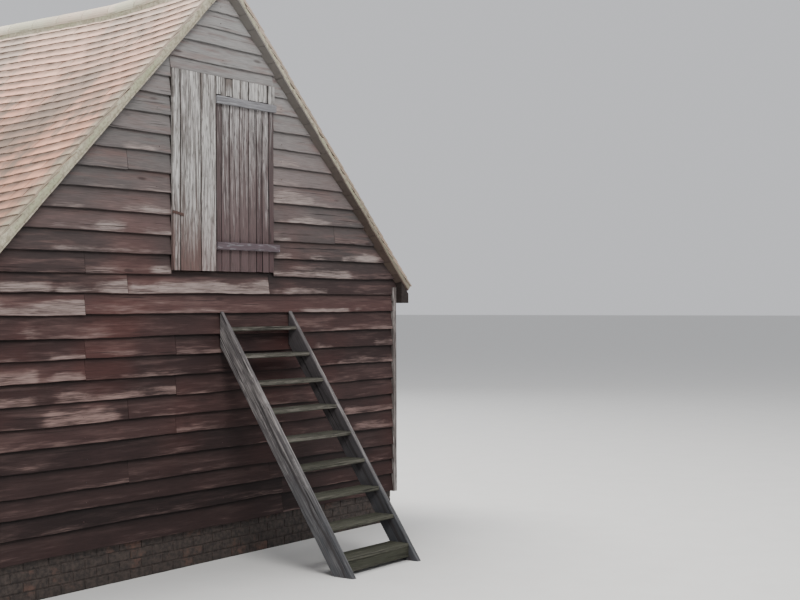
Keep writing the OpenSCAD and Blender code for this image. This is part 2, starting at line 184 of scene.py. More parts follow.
def closeFinish(graph, colour, rough, height, depth, shine=0.3):
    bump = graph.node("ShaderNodeBump", {}, {"Strength": 1.0, "Distance": depth, "Height": height})
    skin = graph.node("ShaderNodeBsdfPrincipled", {}, {
        "Base Color": colour, "Roughness": rough, "Normal": bump, "Specular IOR Level": shine})
    graph.node("ShaderNodeOutputMaterial", {}, {"Surface": skin})
    return graph.material


def dim(colour, share):
    return [c * share for c in colour]


# Patterns that run along the grain: its first part is along a board, its second across, its third a tone
def grainNoise(graph, widths):
    grain = graph.read("grain")
    return [graph.noise(grain.scaled(along, across, 9), 1.0, 4, 0.6) for along, across in widths]


def knotSpots(graph):
    grain = graph.read("grain").scaled(2.3, 8.5, 9)
    cell = graph.node("ShaderNodeTexVoronoi", {}, {"Vector": grain, "Scale": 1.0})
    return graph.step(cell, 0.05, 0.16, 1.0, 0.0)


stepSet = {
    "angle": 56.15,  # degrees
    "string": 0.160,  # depth of a string
    "thick": 0.045,
    "long": 2.3,  # a string before its ends are cut
    # wear of the strings' sides; the right string's, below nought, is painted shade
    "sideWear": {"left_string": 0.64, "right_string": -0.22},
    "count": 9,
    "rise": 0.218,
    "tread": 0.032,
    "shakeDeep": 0.062,  # the strings' long shake, below their top edge
    "shakeTop": 1.55,  # height at which it ends
    "shakeFade": 0.3,
    "shakeWide": 0.021,
    "shakeSway": 0.07,
}


# The long dark shake down the sides of the steps' strings
def stringShake(graph):
    s, slope, place = stepSet, math.radians(stepSet["angle"]), graph.place()
    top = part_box("left_string")[1]
    deep = (place.part(1) - top.y) * math.sin(slope) - (place.part(2) - top.z) * math.cos(slope)
    wander = (graph.noise(place, 2.6, 4, 0.6) - 0.5) * s["shakeSway"]
    line = (deep + wander - s["shakeDeep"]).calc("ABSOLUTE")
    below = graph.step(place.part(2), s["shakeTop"] - s["shakeFade"], s["shakeTop"], 1.0, 0.0)
    return graph.step(line, 0.002, s["shakeWide"], 0.95, 0.0) * below


# Weathered timber without tar: silver where it is worn, brown where it is not, and darkened with painted shade
# where the wear is below nought
def timberFinish(name, dark, light, worn, wear, depth, foot=None, stain=None, shake=None):
    graph = newFinish(name)
    grain, place, wearAndShade = graph.read("grain"), graph.place(), graph.read("worn", 2)
    broad, middle, fine, split = grainNoise(graph, ((1.3, 13), (2.4, 52), (8, 200), (1.3, 90)))
    cracks = graph.step(split, 0.33, 0.42)
    cloud = graph.noise(place, 1.7, 4, 0.6)
    body = graph.wash(dark, light, grain.part(2) * 0.5 + cloud * 0.6, 0.25, 0.85)
    mask = wearAndShade + (broad - 0.5) * 0.7 + (middle - 0.5) * 1.1 + (fine - 0.5) * 0.7
    mask = graph.step(mask, *wear)
    greys = graph.wash(dim(worn, 0.48), worn, fine * 0.5 + middle * 0.5, 0.39, 0.63)
    colour = graph.mix(mask, body, greys)
    if foot:
        low = graph.step(place.part(2) + (middle - 0.5) * 0.7, foot[0], foot[1], 1.0, 0.0)
        colour = graph.mix(low * foot[2], colour, stain)
    colour = graph.wash(colour, dark, graph.noise(grain.scaled(11, 62, 9), 1.0, 2, 0.5), 0.55, 0.67, 0.66)
    colour = graph.mix(knotSpots(graph) * 0.75, colour, dim(dark, 0.45))
    colour = graph.mix(1 - cracks, colour, dim(dark, 0.35))
    if shake:
        colour = graph.mix(shake(graph), colour, dim(dark, 0.6))
    colour = graph.darken(colour, graph.step(fine, 0.3, 0.7, 0.80, 1.1))
    # painted shade where the wear is below nought: board edges and backs, undersides and ledges
    colour = graph.darken(colour, graph.step(wearAndShade, -0.60, -0.10, 0.16, 1.0))
    return closeFinish(graph, colour, 0.82 - mask * 0.02, fine * 0.45 + middle * 0.4 + cracks * 0.9, depth)


# Each wood: wear gives where silver begins and ends, foot the heights and strength of the stain low down
woodSet = {
    "doorWood": {
        "dark": (0.070, 0.052, 0.052), "light": (0.140, 0.110, 0.107), "worn": (0.43, 0.405, 0.40),
        "wear": (0.26, 0.80), "depth": 0.0026, "foot": (2.2, 3.5, 0.58), "stain": (0.078, 0.038, 0.042)},
    "leafWood": {
        "dark": (0.085, 0.072, 0.066), "light": (0.17, 0.148, 0.136), "worn": (0.57, 0.555, 0.54),
        "wear": (0.26, 0.88), "depth": 0.0026, "foot": (2.1, 3.15, 0.67), "stain": (0.132, 0.064, 0.058)},
    "railWood": {
        "dark": (0.19, 0.186, 0.199), "light": (0.235, 0.232, 0.246), "worn": (0.265, 0.266, 0.281),
        "wear": (0.25, 0.95), "depth": 0.0010, "foot": (2.6, 3.5, 0.85), "stain": (0.076, 0.048, 0.058)},
    "stepWood": {
        "dark": (0.074, 0.066, 0.069), "light": (0.160, 0.147, 0.149), "worn": (0.285, 0.265, 0.258),
        "wear": (0.25, 0.95), "depth": 0.0022, "foot": (0.1, 1.38, 0.72), "stain": (0.050, 0.057, 0.065),
        "shake": stringShake},
    "treadWood": {
        "dark": (0.030, 0.029, 0.022), "light": (0.060, 0.058, 0.046), "worn": (0.165, 0.152, 0.132),
        "wear": (0.30, 1.05), "depth": 0.002, "foot": (0.3, 1.7, 0.6), "stain": (0.040, 0.043, 0.028)},
    "cornerWood": {
        "dark": (0.085, 0.070, 0.066), "light": (0.155, 0.138, 0.130), "worn": (0.36, 0.335, 0.32),
        "wear": (0.3, 0.8), "depth": 0.0018},
    "floorWood": {
        "dark": (0.16, 0.12, 0.085), "light": (0.27, 0.21, 0.15), "worn": (0.36, 0.30, 0.23),
        "wear": (0.5, 0.9), "depth": 0.0012},
}
woods = {name: timberFinish(name, **wood) for name, wood in woodSet.items()}


tarSet = {
    "dark": (0.027, 0.0135, 0.0132),
    "light": (0.066, 0.033, 0.031),
    "red": (0.082, 0.029, 0.025),
    # bleaching and painted haze: the upper boards paler, less so on the left
    "bleachAndHaze": (0.325, 0.325, 0.320),  # of the upper boards
    "worn": (0.290, 0.242, 0.226),
    "wornLow": (0.212, 0.141, 0.127),
    "scuffed": (0.160, 0.098, 0.089),
    "bleachAndHazeFrom": 1.95,  # heights
    "bleachAndHazeTo": 4.6,
    # darker towards the ground, up to this height
    "darkenedUpTo": 2.1,
}


# Old tar on weatherboards: worn through along the lower edges, and dark under the laps with painted shade
def tarFinish():
    t, graph = tarSet, newFinish("tarBoards")
    broad, middle, fine, split = grainNoise(graph, ((1.1, 7), (2.0, 26), (8, 190), (1.2, 70)))
    # worn: the board's wear above nought, painted shade below it
    worn, place = graph.read("worn", 2), graph.place()
    up, cloud = place.part(2), graph.noise(place, 1.3, 4, 0.6)
    tar = graph.wash(t["dark"], t["light"], graph.read("grain").part(2) * 0.45 + cloud * 0.6, 0.3, 0.8)
    tar = graph.wash(tar, t["red"], graph.noise(place, 0.75, 3), 0.47, 0.64, 0.55)
    # darker towards the ground
    tar = graph.darken(tar, graph.step(up, 0.3, t["darkenedUpTo"], 0.42, 1.0))
    # bleaching and painted haze, paler with height and less on the left
    bleachAndHazeShare = graph.step(up, t["bleachAndHazeFrom"], t["bleachAndHazeTo"], 0.0, 0.85)
    tar = graph.mix(bleachAndHazeShare * graph.step(place.part(0), -1.3, 0.4, 0.72, 1.0), tar, t["bleachAndHaze"])
    mask = worn + (broad - 0.5) * 0.8 + (middle - 0.5) * 0.9 + (fine - 0.5) * 0.45
    mask = graph.step(mask, 0.16, 0.74, 0.0, 0.95)
    bare = graph.wash(t["wornLow"], t["worn"], up, 1.2, 2.7)
    greys = graph.mix(graph.step(fine * 0.4 + middle * 0.6, 0.36, 0.60, 0.52, 0.0), bare, t["dark"])
    scuff = graph.step(broad * 0.5 + middle * 0.5, 0.47, 0.66, 0.0, 0.62)
    scuff = scuff * graph.step(up, 0.5, 2.4, 0.25, 1.0)
    colour = graph.mix(mask, graph.mix(scuff, tar, t["scuffed"]), greys)
    colour = graph.mix(knotSpots(graph) * 0.6, colour, t["dark"])
    # painted shade under the laps and on the hidden backs, made lighter higher up by painted haze
    shade = graph.step(worn, -0.60, 0.10, 0.26, 1.0)
    colour = graph.darken(colour, shade + (1 - shade) * graph.step(up, 2.0, 4.2, 0.0, 0.72))
    colour = graph.mix(graph.step(split, 0.31, 0.39, 0.8, 0.0), colour, dim(t["dark"], 0.4))
    colour = graph.darken(colour, graph.step(fine, 0.3, 0.7, 0.80, 1.12))
    return closeFinish(graph, colour, 0.78 + mask * 0.05, fine * 0.4 + middle * 0.5 + split * 0.4, 0.0022)


tarBoards = tarFinish()
print("timber finishes made")


# Sawn oak of the frame: the grain runs along one axis of the building
def oakFinish(name, stretch, turn=0.0, dark=(0.12, 0.09, 0.062), light=(0.29, 0.235, 0.175)):
    graph = newFinish(name)
    turned = (0, math.radians(turn), 0)
    place = graph.node("ShaderNodeMapping", {}, {"Vector": graph.place(), "Rotation": turned})
    broad = graph.noise(place.scaled(*[2 if s else 30 for s in stretch]), 1.0, 4, 0.6)
    fine = graph.noise(place.scaled(*[8 if s else 160 for s in stretch]), 1.0, 3, 0.6)
    cloud = graph.noise(place, 1.3, 3)
    colour = graph.wash(dark, light, broad * 0.6 + cloud * 0.4, 0.3, 0.7)
    colour = graph.mix(graph.step(fine, 0.34, 0.44, 0.6, 0.0), colour, dim(dark, 0.5))
    return closeFinish(graph, colour, 0.86 - fine * 0.08, fine * 0.6 + broad * 0.4, 0.0022)


# What each finish is made from, and the nodes that have it
frameWood = {
    ("oakAlongX", (1, 0, 0)): ("end_sole_plates", "tie_beams", "collars"),
    ("oakAlongY", (0, 1, 0)): ("sole_plates", "wall_plates", "floor_joists", "purlins", "ridge_board"),
    ("oakUpright", (0, 0, 1)): ("corner_posts", "side_posts", "side_studs", "front_studs", "back_studs",
                                "front_gable_studs", "back_gable_studs"),
    ("oakLeftSlope", (1, 0, 0), roofSet["pitch"]): ("rafters_left",),
    ("oakRightSlope", (1, 0, 0), -roofSet["pitch"]): ("rafters_right", "verge_packers"),
    ("blackPosts", (0, 0, 1), 0.0, (0.018, 0.012, 0.011), (0.045, 0.032, 0.028)): ("door_posts",),
    ("blackEaves", (0, 1, 0), 0.0, (0.014, 0.010, 0.0095), (0.034, 0.025, 0.022)): ("soffit_boards",),
}
for look, names in frameWood.items():
    oak = oakFinish(*look)
    for name in names:
        nodes[name].data.materials.clear()
        nodes[name].data.materials.append(oak)
print("frame timbers finished")


claySet = {
    "fresh": (0.80, 0.335, 0.215),  # salmon tiles in patches
    "streak": (0.56, 3.86, 0.7),  # dark streak on the left slope: place, its height, and lean
    "edge": (0.300, 0.280, 0.200),  # grey green near verges and ridge
    "edgeWide": 0.17,
    "ridgeBand": 0.32,
    # bleaching and painted haze: paler between these heights
    "pale": (0.84, 0.69, 0.60),  # bleached between these heights
    "paleFrom": 3.1,
    "paleTo": 4.7,
    # dirt and painted shadow under the laps
    "dirtAndShadow": (0.088, 0.067, 0.054),  # under the laps
    "tailEnd": (0.400, 0.330, 0.275),
    # painted haze: the undercloak greyer with height
    "dull": (0.225, 0.215, 0.200),  # the undercloak's with height
    "limeDark": (0.25, 0.225, 0.165),
    "lime": (0.46, 0.425, 0.335),
}


# Clay: broad patches of tone and grey lichen; on the slopes also a streak, grey edges, and dirt with painted
# shadow below each course's tails
def clayFinish(name, reds, lichen, spread, onSlopes=False, limed=False):
    c, graph = claySet, newFinish(name)
    place, tone = graph.place(), graph.read("tone", 2)
    z = place.part(2)
    mottle = graph.noise(place, 34, 5, 0.65)
    patch = graph.noise(place, 1.1, 4, 0.62)
    grit = graph.noise(place, 420, 2, 0.5)
    field = tone * 0.40 + mottle * 0.26 + graph.step(patch, 0.34, 0.66) * 0.40
    colour = graph.node("ShaderNodeValToRGB", {"stops": reds}, {0: field})
    colour = graph.wash(colour, reds[0][1], tone, 0.88, 0.93, 0.5)
    flow = graph.noise(place.scaled(0.75, 1.6, 0.75), 1.25, 6, 0.7)
    spots = graph.step(flow * 0.8 + mottle * 0.2, *spread)
    if onSlopes:
        x, y = place.part(0), place.part(1)
        newer = graph.noise(place.scaled(1.0, 0.7, 1.0), 3.1, 4, 0.65) * 0.8 + mottle * 0.2
        colour = graph.wash(colour, c["fresh"], newer, 0.50, 0.63, 0.6)
        along, height, lean = c["streak"]
        streak = y - along - (height - z) * lean + (flow - 0.5) * 1.1
        streak = graph.step(streak.calc("ABSOLUTE"), 0.08, 0.40, 1.0, 0.0)
        streak = streak * graph.step(z, 3.85, 4.15, 1.0, 0.0) * graph.step(x, 0.0, 0.1, 1.0, 0.0)
        spots = spots.calc("MAXIMUM", streak)
    colour = graph.mix(spots * 0.8, colour, lichen)
    if onSlopes:
        inside = (y - vergeFront).calc("MINIMUM", vergeBack - y)
        inside = inside + (patch - 0.5) * 0.25 + (mottle - 0.5) * 0.26
        nearRidge = graph.step(z + (patch - 0.5) * 0.4, gableTop - c["ridgeBand"], gableTop, 0.0, 0.75)
        grey = graph.step(inside, 0.0, c["edgeWide"], 1.0, 0.0).calc("MAXIMUM", nearRidge)
        colour = graph.mix(grey * 0.8, colour, c["edge"])
        # bleaching and painted haze towards the ridge
        colour = graph.wash(colour, c["pale"], z, c["paleFrom"], c["paleTo"], 0.42)
        tail = graph.read("tail", 2) + (mottle - 0.5) * 0.05
        cloud = graph.noise(place, 2.8, 4, 0.6)
        # dirt and painted shadow at the top of each exposed tile, below the tails of the course above
        dirtAndShadow = graph.step(tail, 0.17, 0.50, 0.88, 0.0) * graph.step(cloud, 0.34, 0.6, 0.70, 1.0)
        colour = graph.mix(dirtAndShadow * graph.step(inside, 0.0, 0.12, 0.6, 1.0), colour, c["dirtAndShadow"])
        colour = graph.wash(colour, c["tailEnd"], tail, 0.56, 0.68, 0.8)
    if limed:
        # painted haze, greyer with height
        colour = graph.wash(colour, c["dull"], z, 2.5, 4.5, 0.8)
        lime = graph.wash(c["limeDark"], c["lime"], mottle, 0.3, 0.7)
        colour = graph.wash(colour, lime, graph.read("worn", 2), 0.88, 0.98, 0.92)
    return closeFinish(graph, colour, 0.84 - tone * 0.06, mottle * 0.7 + grit * 0.3, 0.0022)


tileClay = clayFinish(
    "tileClay", [(0.0, (0.212, 0.120, 0.085)), (0.28, (0.372, 0.196, 0.132)), (0.58, (0.60, 0.281, 0.184)),
                 (1.0, (0.84, 0.446, 0.301))], (0.150, 0.122, 0.098), (0.49, 0.59), onSlopes=True)
ridgeClay = clayFinish(
    "ridgeClay", [(0.0, (0.38, 0.30, 0.235)), (0.5, (0.56, 0.48, 0.385)), (1.0, (0.72, 0.62, 0.505))],
    (0.47, 0.475, 0.36), (0.44, 0.56))
# undercloak clay, much darker than the tiles: its own brown and painted shade under the verge's overhang
cloakClay = clayFinish(
    "cloakClay", [(0.0, (0.050, 0.034, 0.029)), (0.5, (0.086, 0.060, 0.050)), (1.0, (0.13, 0.098, 0.080))],
    (0.12, 0.105, 0.080), (0.50, 0.70), limed=True)

mortarSet = {
    "dark": (0.29, 0.262, 0.195),
    "light": (0.53, 0.488, 0.380),
    "lichen": (0.33, 0.35, 0.225),
    "fleck": (0.150, 0.135, 0.092),
    # painted shade, low on the right verge
    "rightShade": (0.135, 0.112, 0.086),  # low on the right
}


def mortarFinish():
    m, graph = mortarSet, newFinish("limeMortar")
    place = graph.place()
    mottle = graph.noise(place, 24, 5, 0.65)
    patch = graph.noise(place, 3.2, 4, 0.6)
    grit = graph.noise(place, 300, 3, 0.6)
    colour = graph.wash(m["dark"], m["light"], mottle, 0.3, 0.7)
    colour = graph.wash(colour, m["lichen"], patch * 0.6 + mottle * 0.4, 0.45, 0.62, 0.75)
    colour = graph.wash(colour, m["fleck"], graph.noise(place, 58, 4, 0.65), 0.52, 0.66, 0.65)
    # painted shade on the lower mortar of the right verge
    low = graph.step(place.part(2) + (patch - 0.5) * 0.8, 2.5, 3.7, 0.72, 0.0)
    colour = graph.mix(graph.step(place.part(0), 0.3, 1.2) * low, colour, m["rightShade"])
    return closeFinish(graph, colour, 0.9 - mottle * 0.05, mottle * 0.7 + grit * 0.3, 0.004)


brickSet = {"dark": (0.022, 0.018, 0.017), "light": (0.058, 0.044, 0.038), "bare": (0.13, 0.072, 0.055)}


def brickFinish():
    graph = newFinish("tarBrick")
    place = graph.place()
    mottle = graph.noise(place, 30, 5, 0.65)
    tar = graph.wash(brickSet["dark"], brickSet["light"], mottle, 0.3, 0.7)
    bare = graph.step(graph.noise(place, 6, 4, 0.7) + (graph.read("tone", 2) - 0.5) * 0.25, 0.60, 0.78)
    return closeFinish(graph, graph.mix(bare * 0.7, tar, brickSet["bare"]), 0.7 + bare * 0.2, mottle, 0.004)


ironSet = {"dark": (0.030, 0.022, 0.021), "rust": (0.095, 0.040, 0.028)}


def ironFinish():
    graph = newFinish("rustIron")
    mottle = graph.noise(graph.place(), 90, 5, 0.65)
    colour = graph.wash(ironSet["dark"], ironSet["rust"], mottle, 0.4, 0.6)
    return closeFinish(graph, colour, 0.55 + mottle * 0.3, mottle, 0.0008, 0.5)


limeMortar, tarBrick, rustIron = mortarFinish(), brickFinish(), ironFinish()
print("clay, mortar, brick and iron finishes made")


def addObject(name, data):
    made = bpy.data.objects.new(name, data)
    bpy.context.scene.collection.objects.link(made)
    return made


# Turns the faces outwards and leaves the work in a mesh
def closeMesh(work, mesh):
    bmesh.ops.recalc_face_normals(work, faces=work.faces)
    work.to_mesh(mesh)
    work.free()
    return mesh


def finishPiece(piece, replaced=()):
    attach(piece, "root")
    if replaced:
        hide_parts(*replaced)
    print("piece", piece.name, len(piece.data.polygons), "faces")


class Piece:
    # gathers closed strips with their grain, and their wear and painted shade, then becomes one object
    def __init__(self, name):
        self.name = name
        self.points, self.grain, self.worn, self.faces = [], [], [], []
        self.count = 0

    # rings: stations x section x 3, joined one to the next and closed at both ends
    def loft(self, rings, grain, worn):
        stations, section = rings.shape[:2]
        first = self.count
        self.points.append(rings.reshape(-1, 3))
        self.grain.append(grain.reshape(-1, 3))
        self.worn.append(np.broadcast_to(worn, (stations, section)).reshape(-1))
        for i in range(stations - 1):
            for j in range(section):
                a, b = first + i * section + j, first + i * section + (j + 1) % section
                self.faces.append((a, b, b + section, a + section))
        last = first + (stations - 1) * section
        self.faces.append(tuple(range(first + section - 1, first - 1, -1)))
        self.faces.append(tuple(range(last, last + section)))
        self.count += stations * section

    def build(self, material, slot, replaced=()):
        mesh = bpy.data.meshes.new(self.name)
        mesh.from_pydata(np.concatenate(self.points).tolist(), [], self.faces)
        grain, worn = (np.concatenate(rows).astype(np.float32) for rows in (self.grain, self.worn))
        mesh.attributes.new("grain", "FLOAT_VECTOR", "POINT").data.foreach_set("vector", grain.reshape(-1))
        for name, values in (("worn", worn), ("tone", grain[:, 2].copy())):
            mesh.attributes.new(name, "FLOAT", "POINT").data.foreach_set("value", values)
        work = bmesh.new()
        work.from_mesh(mesh)
        closeMesh(work, mesh)
        mesh.materials.append(material)
        finishPiece(addObject(self.name, mesh), replaced)


def ripple(x, y=0.0, z=0.0):
    return noise.noise(Vector((x, y, z)))


# A sawn bar with eased arrises: along one way, wide another and deep the third
def timber(piece, start, way, length, across, width, inward, depth, tone, worn=0.4, ease=0.003,
           step=0.12, rough=0.0012, startCut=None, endCut=None, grainShift=0.0):
    start, way, across, inward = (np.array(v, float) for v in (start, way, across, inward))
    face = (ease, width * 0.33, width * 0.67, width - ease)
    section = [(a, 0) for a in face] + [(width, ease), (width, depth - ease)]
    section += [(a, depth) for a in reversed(face)] + [(0, depth - ease), (0, ease)]
    stations = max(2, int(round(length / step)) + 1)
    rings = np.zeros((stations, len(section), 3))
    grain = np.zeros_like(rings)
    for j, (a, d) in enumerate(section):
        low = startCut(a, d) if startCut else 0.0
        high = endCut(a, d) if endCut else length
        for i in range(stations):
            along = low + (high - low) * i / (stations - 1)
            wobble = rough * ripple(along * 3.1 + grainShift, a * 20, d * 20 + tone * 9)
            sway = rough * ripple(along * 1.3 + grainShift, 7.7, tone * 31)
            inset = wobble if j < 4 or 5 < j < 10 else 0.0
            rings[i, j] = start + way * along + across * (a + sway) + inward * (d + inset)
            grain[i, j] = (along + tone * 37 + grainShift, a + d * 0.7, tone)
    piece.loft(rings, grain, worn)


# A bar between two corners, with its length across the building
def crossBar(piece, low, high, *finish, **more):
    timber(piece, low, (1, 0, 0), high[0] - low[0], (0, 0, 1), high[2] - low[2], (0, 1, 0), high[1] - low[1],
           *finish, **more)


cameraSet = {
    "lens": 60.6,
    "sensor": 36,
    "place": (-8.073, -7.649, 2.070),
    "yaw": -54.387,  # degrees
    "pitch": 0.167,
    "roll": -0.227,
}


def addCamera():
    yaw, nod, roll = (math.radians(cameraSet[k]) for k in ("yaw", "pitch", "roll"))
    ahead = Vector((-math.sin(yaw) * math.cos(nod), math.cos(yaw) * math.cos(nod), math.sin(nod)))
    level = Vector((math.cos(yaw), math.sin(yaw), 0))
    upward = level.cross(ahead)
    right = level * math.cos(roll) + upward * math.sin(roll)
    up = upward * math.cos(roll) - level * math.sin(roll)
    camera = addObject("camera", bpy.data.cameras.new("camera"))
    camera.matrix_world = Matrix((right, up, -ahead)).transposed().to_4x4()
    camera.location = cameraSet["place"]
    camera.data.lens = cameraSet["lens"]
    camera.data.sensor_width = cameraSet["sensor"]
    bpy.context.scene.camera = camera


studio = {
    "sky": (0.95, 0.96, 1.0),
    "skyPower": 0.72,
    "floorSize": 400,
    "floorDark": (0.60, 0.60, 0.59),
    "floorLight": (0.66, 0.66, 0.65),
    "lamps": {  # place, aim, size, power, colour
        "gableLamp": ((-5, -10, 13), (0, 0, 2.8), 8, 1900, (1.0, 0.975, 0.94)),
        "ridgeLamp": ((-0.5, 4.5, 15), (0, 3, 4), 9, 3300, (1.0, 0.97, 0.92)),
        "farLamp": ((12, 13, 10), (0, 4, 2), 9, 900, (0.95, 0.97, 1.0)),
    },
}


def addStudio():
    world = bpy.data.worlds.new("studio")
    bpy.context.scene.world = world
    world.use_nodes = True
    sky = world.node_tree.nodes["Background"].inputs
    sky[0].default_value, sky[1].default_value = (*studio["sky"], 1), studio["skyPower"]
    for name, (place, aim, size, power, colour) in studio["lamps"].items():
        lamp = bpy.data.lights.new(name, "AREA")
        lamp.shape, lamp.size, lamp.energy, lamp.color = "DISK", size, power, colour
        body = addObject(name, lamp)
        body.location = place
        body.rotation_euler = (Vector(aim) - Vector(place)).to_track_quat("-Z", "Y").to_euler()
    half = studio["floorSize"] / 2
    mesh = bpy.data.meshes.new("floor")
    corners = [(-half, -half, 0), (half, -half, 0), (half, half, 0), (-half, half, 0)]
    mesh.from_pydata(corners, [], [(0, 1, 2, 3)])
    graph = newFinish("studioFloor")
    speckle = graph.noise(graph.place(), 3.0, 3)
    colour = graph.mix(speckle, studio["floorDark"], studio["floorLight"])
    mesh.materials.append(closeFinish(graph, colour, 0.9, speckle, 0.0005))
    addObject("floor", mesh)


addCamera()
addStudio()
print("camera and studio placed")


def tiltAt(y):
    inside = min(y - vergeFront, vergeBack - y)
    share = max(0.0, 1 - inside / roofSet["tiltLength"])
    return roofSet["vergeRise"] * share ** roofSet["tiltPower"]


# A point on a slope: side -1 or 1, distance down the slope, place along the ridge, height out of it
def onSlope(side, down, y, out):
    x = down * math.cos(pitch) + out * math.sin(pitch)
    return (side * x, y, rafterApex - down * math.sin(pitch) + out * math.cos(pitch))


boardSet = {
    "feet": (0.455, 0.592, 0.736, 0.906, 1.066, 1.212, 1.368, 1.522, 1.680, 1.828, 2.002, 2.158, 2.304,
             2.460, 2.615, 2.772, 2.935, 3.094, 3.246, 3.396, 3.545, 3.700, 3.845, 4.015, 4.170, 4.310,
             4.445, 4.570),  # lower edges above the ground
    "lap": 0.030,
    "edge": 0.020,  # thickness at the lower edge
    "thin": 0.010,
    "sway": 0.010,
    "nick": 0.0045,
    "bow": 0.006,
    "rough": 0.0018,
    "fuzz": 0.0025,  # of the lower edge, and more where it is worn
    "fuzzWorn": 0.003,
    "ease": 0.003,
    "fade": 0.10,  # length over which a worn place fades at its ends
    "studs": (-1.457, -1.04, -0.54, 0.563, 0.728, 1.457),
    "butt": 0.0015,  # half the gap between two boards
    "least": 0.25,  # length of a board
    "underTop": 0.020,  # the last row's top below the gable's
    "gableWear": ((0.3, 1.1), (0.05, 0.12), (0.5, 0.9)),  # worn places at random: length, height, strength
    "sideWear": ((0.3, 1.3), (0.04, 0.12), (0.4, 0.9)),
}
farOff = 9  # past any board's end
# Worn grey places on the front: by the row's lower edge, each with start, end, height and strength
wornPlaces = {
    0.906: ((1.70, 2.45, 0.10, 0.5),),
    1.066: ((-1.00, -0.50, 0.05, 0.3), (1.55, 2.45, 0.10, 0.75)),
    1.212: ((-2.30, -1.90, 0.06, 0.3), (-1.88, -1.05, 0.13, 0.8), (-1.05, -0.50, 0.09, 0.4)),
    1.368: ((-2.45, -1.83, 0.08, 0.65), (-1.80, -1.38, 0.11, 0.8), (-1.50, -0.44, 0.09, 0.85),
            (1.40, 2.20, 0.06, 0.2)),
    1.522: ((-2.45, -1.85, 0.10, 0.75), (-1.82, -1.40, 0.09, 0.7), (-1.20, -0.30, 0.03, 0.5),
            (1.20, 1.50, 0.06, 0.6), (1.45, 2.45, 0.07, 0.6)),
    1.680: ((-2.45, -1.95, 0.07, 0.55), (-1.85, -1.35, 0.05, 0.8), (1.12, 1.50, 0.08, 0.85),
            (1.45, 1.95, 0.05, 0.45), (2.00, 2.45, 0.07, 0.75)),
    1.828: ((-2.08, -1.82, 0.08, 0.4), (1.00, 1.70, 0.06, 0.4)),
    2.002: ((-2.45, -1.35, 0.12, 0.85), (0.90, 1.72, 0.05, 0.75), (1.68, 1.88, 0.06, 0.8)),
    2.158: ((-2.45, -1.72, 0.09, 0.8), (-1.80, -1.30, 0.05, 0.75), (-1.42, -0.90, 0.12, 0.85),
            (-1.10, -0.70, 0.12, 0.8), (-0.80, 0.66, 0.15, 0.8), (0.70, 1.45, 0.06, 0.6),
            (1.60, 2.30, 0.05, 0.3)),
    2.304: ((-0.85, -0.50, 0.08, 0.65), (0.50, 1.75, 0.12, 0.5)),
    2.460: ((-1.78, -1.30, 0.035, 0.6), (-1.20, -0.50, 0.05, 0.35), (0.60, 0.90, 0.10, 0.55),
            (1.05, 1.40, 0.05, 0.5), (1.50, 2.15, 0.07, 0.85)),
    2.615: ((-1.80, -1.00, 0.09, 0.5), (-1.40, -1.02, 0.10, 0.75), (-0.98, -0.50, 0.07, 0.5),
            (0.50, 0.90, 0.08, 0.55)),
    2.772: ((-1.80, -1.40, 0.03, 0.5), (-1.15, -0.50, 0.07, 0.6), (0.50, 0.80, 0.06, 0.45),
            (0.76, 1.45, 0.08, 0.85)),
    2.935: ((-1.50, -0.50, 0.06, 0.5), (0.50, 1.20, 0.12, 0.85), (1.10, 1.75, 0.035, 0.5)),
    3.094: ((0.50, 1.05, 0.10, 0.55),),
    3.246: ((-1.15, -0.72, 0.045, 0.85), (0.50, 1.00, 0.10, 0.55)),
    3.545: ((-0.98, -0.50, 0.04, 0.5),),
    3.700: ((0.50, 0.80, 0.13, 0.8),),
}
wallJoints = {2.158: (-1.04, 0.563), 2.002: (-1.457,), 1.680: (-1.457, -0.54), 1.522: (-1.457,),
              1.368: (-0.54,), 1.212: (-1.04,), 2.304: (-1.457,), 0.906: (0.728,), 1.066: (-0.54, 1.457)}


# How worn a board is at a place along it and a rise above its lower edge
def wearAt(places, along, rise, seed):
    most = 0.0
    for start, end, high, strong in places:
        side = min(along - start, end - along) / boardSet["fade"] + 0.5 * ripple(along * 6, seed, rise * 9)
        reach = high * (0.95 + 0.75 * ripple(along * 2.6, seed, 2.2))
        upper = 1 - min(1.0, max(0.0, (rise - reach * 0.55) / (reach * 0.6)))
        strong *= 0.9 + 0.5 * ripple(along * 4.1, seed, 8.8)
        most = max(most, strong * min(1.0, max(0.0, side)) * upper)
    return most


def randomPlace(dice, start, end, ranges):
    at = dice.uniform(start, end)
    length, high, strong = (dice.uniform(*span) for span in ranges)
    return at, at + length, high, strong


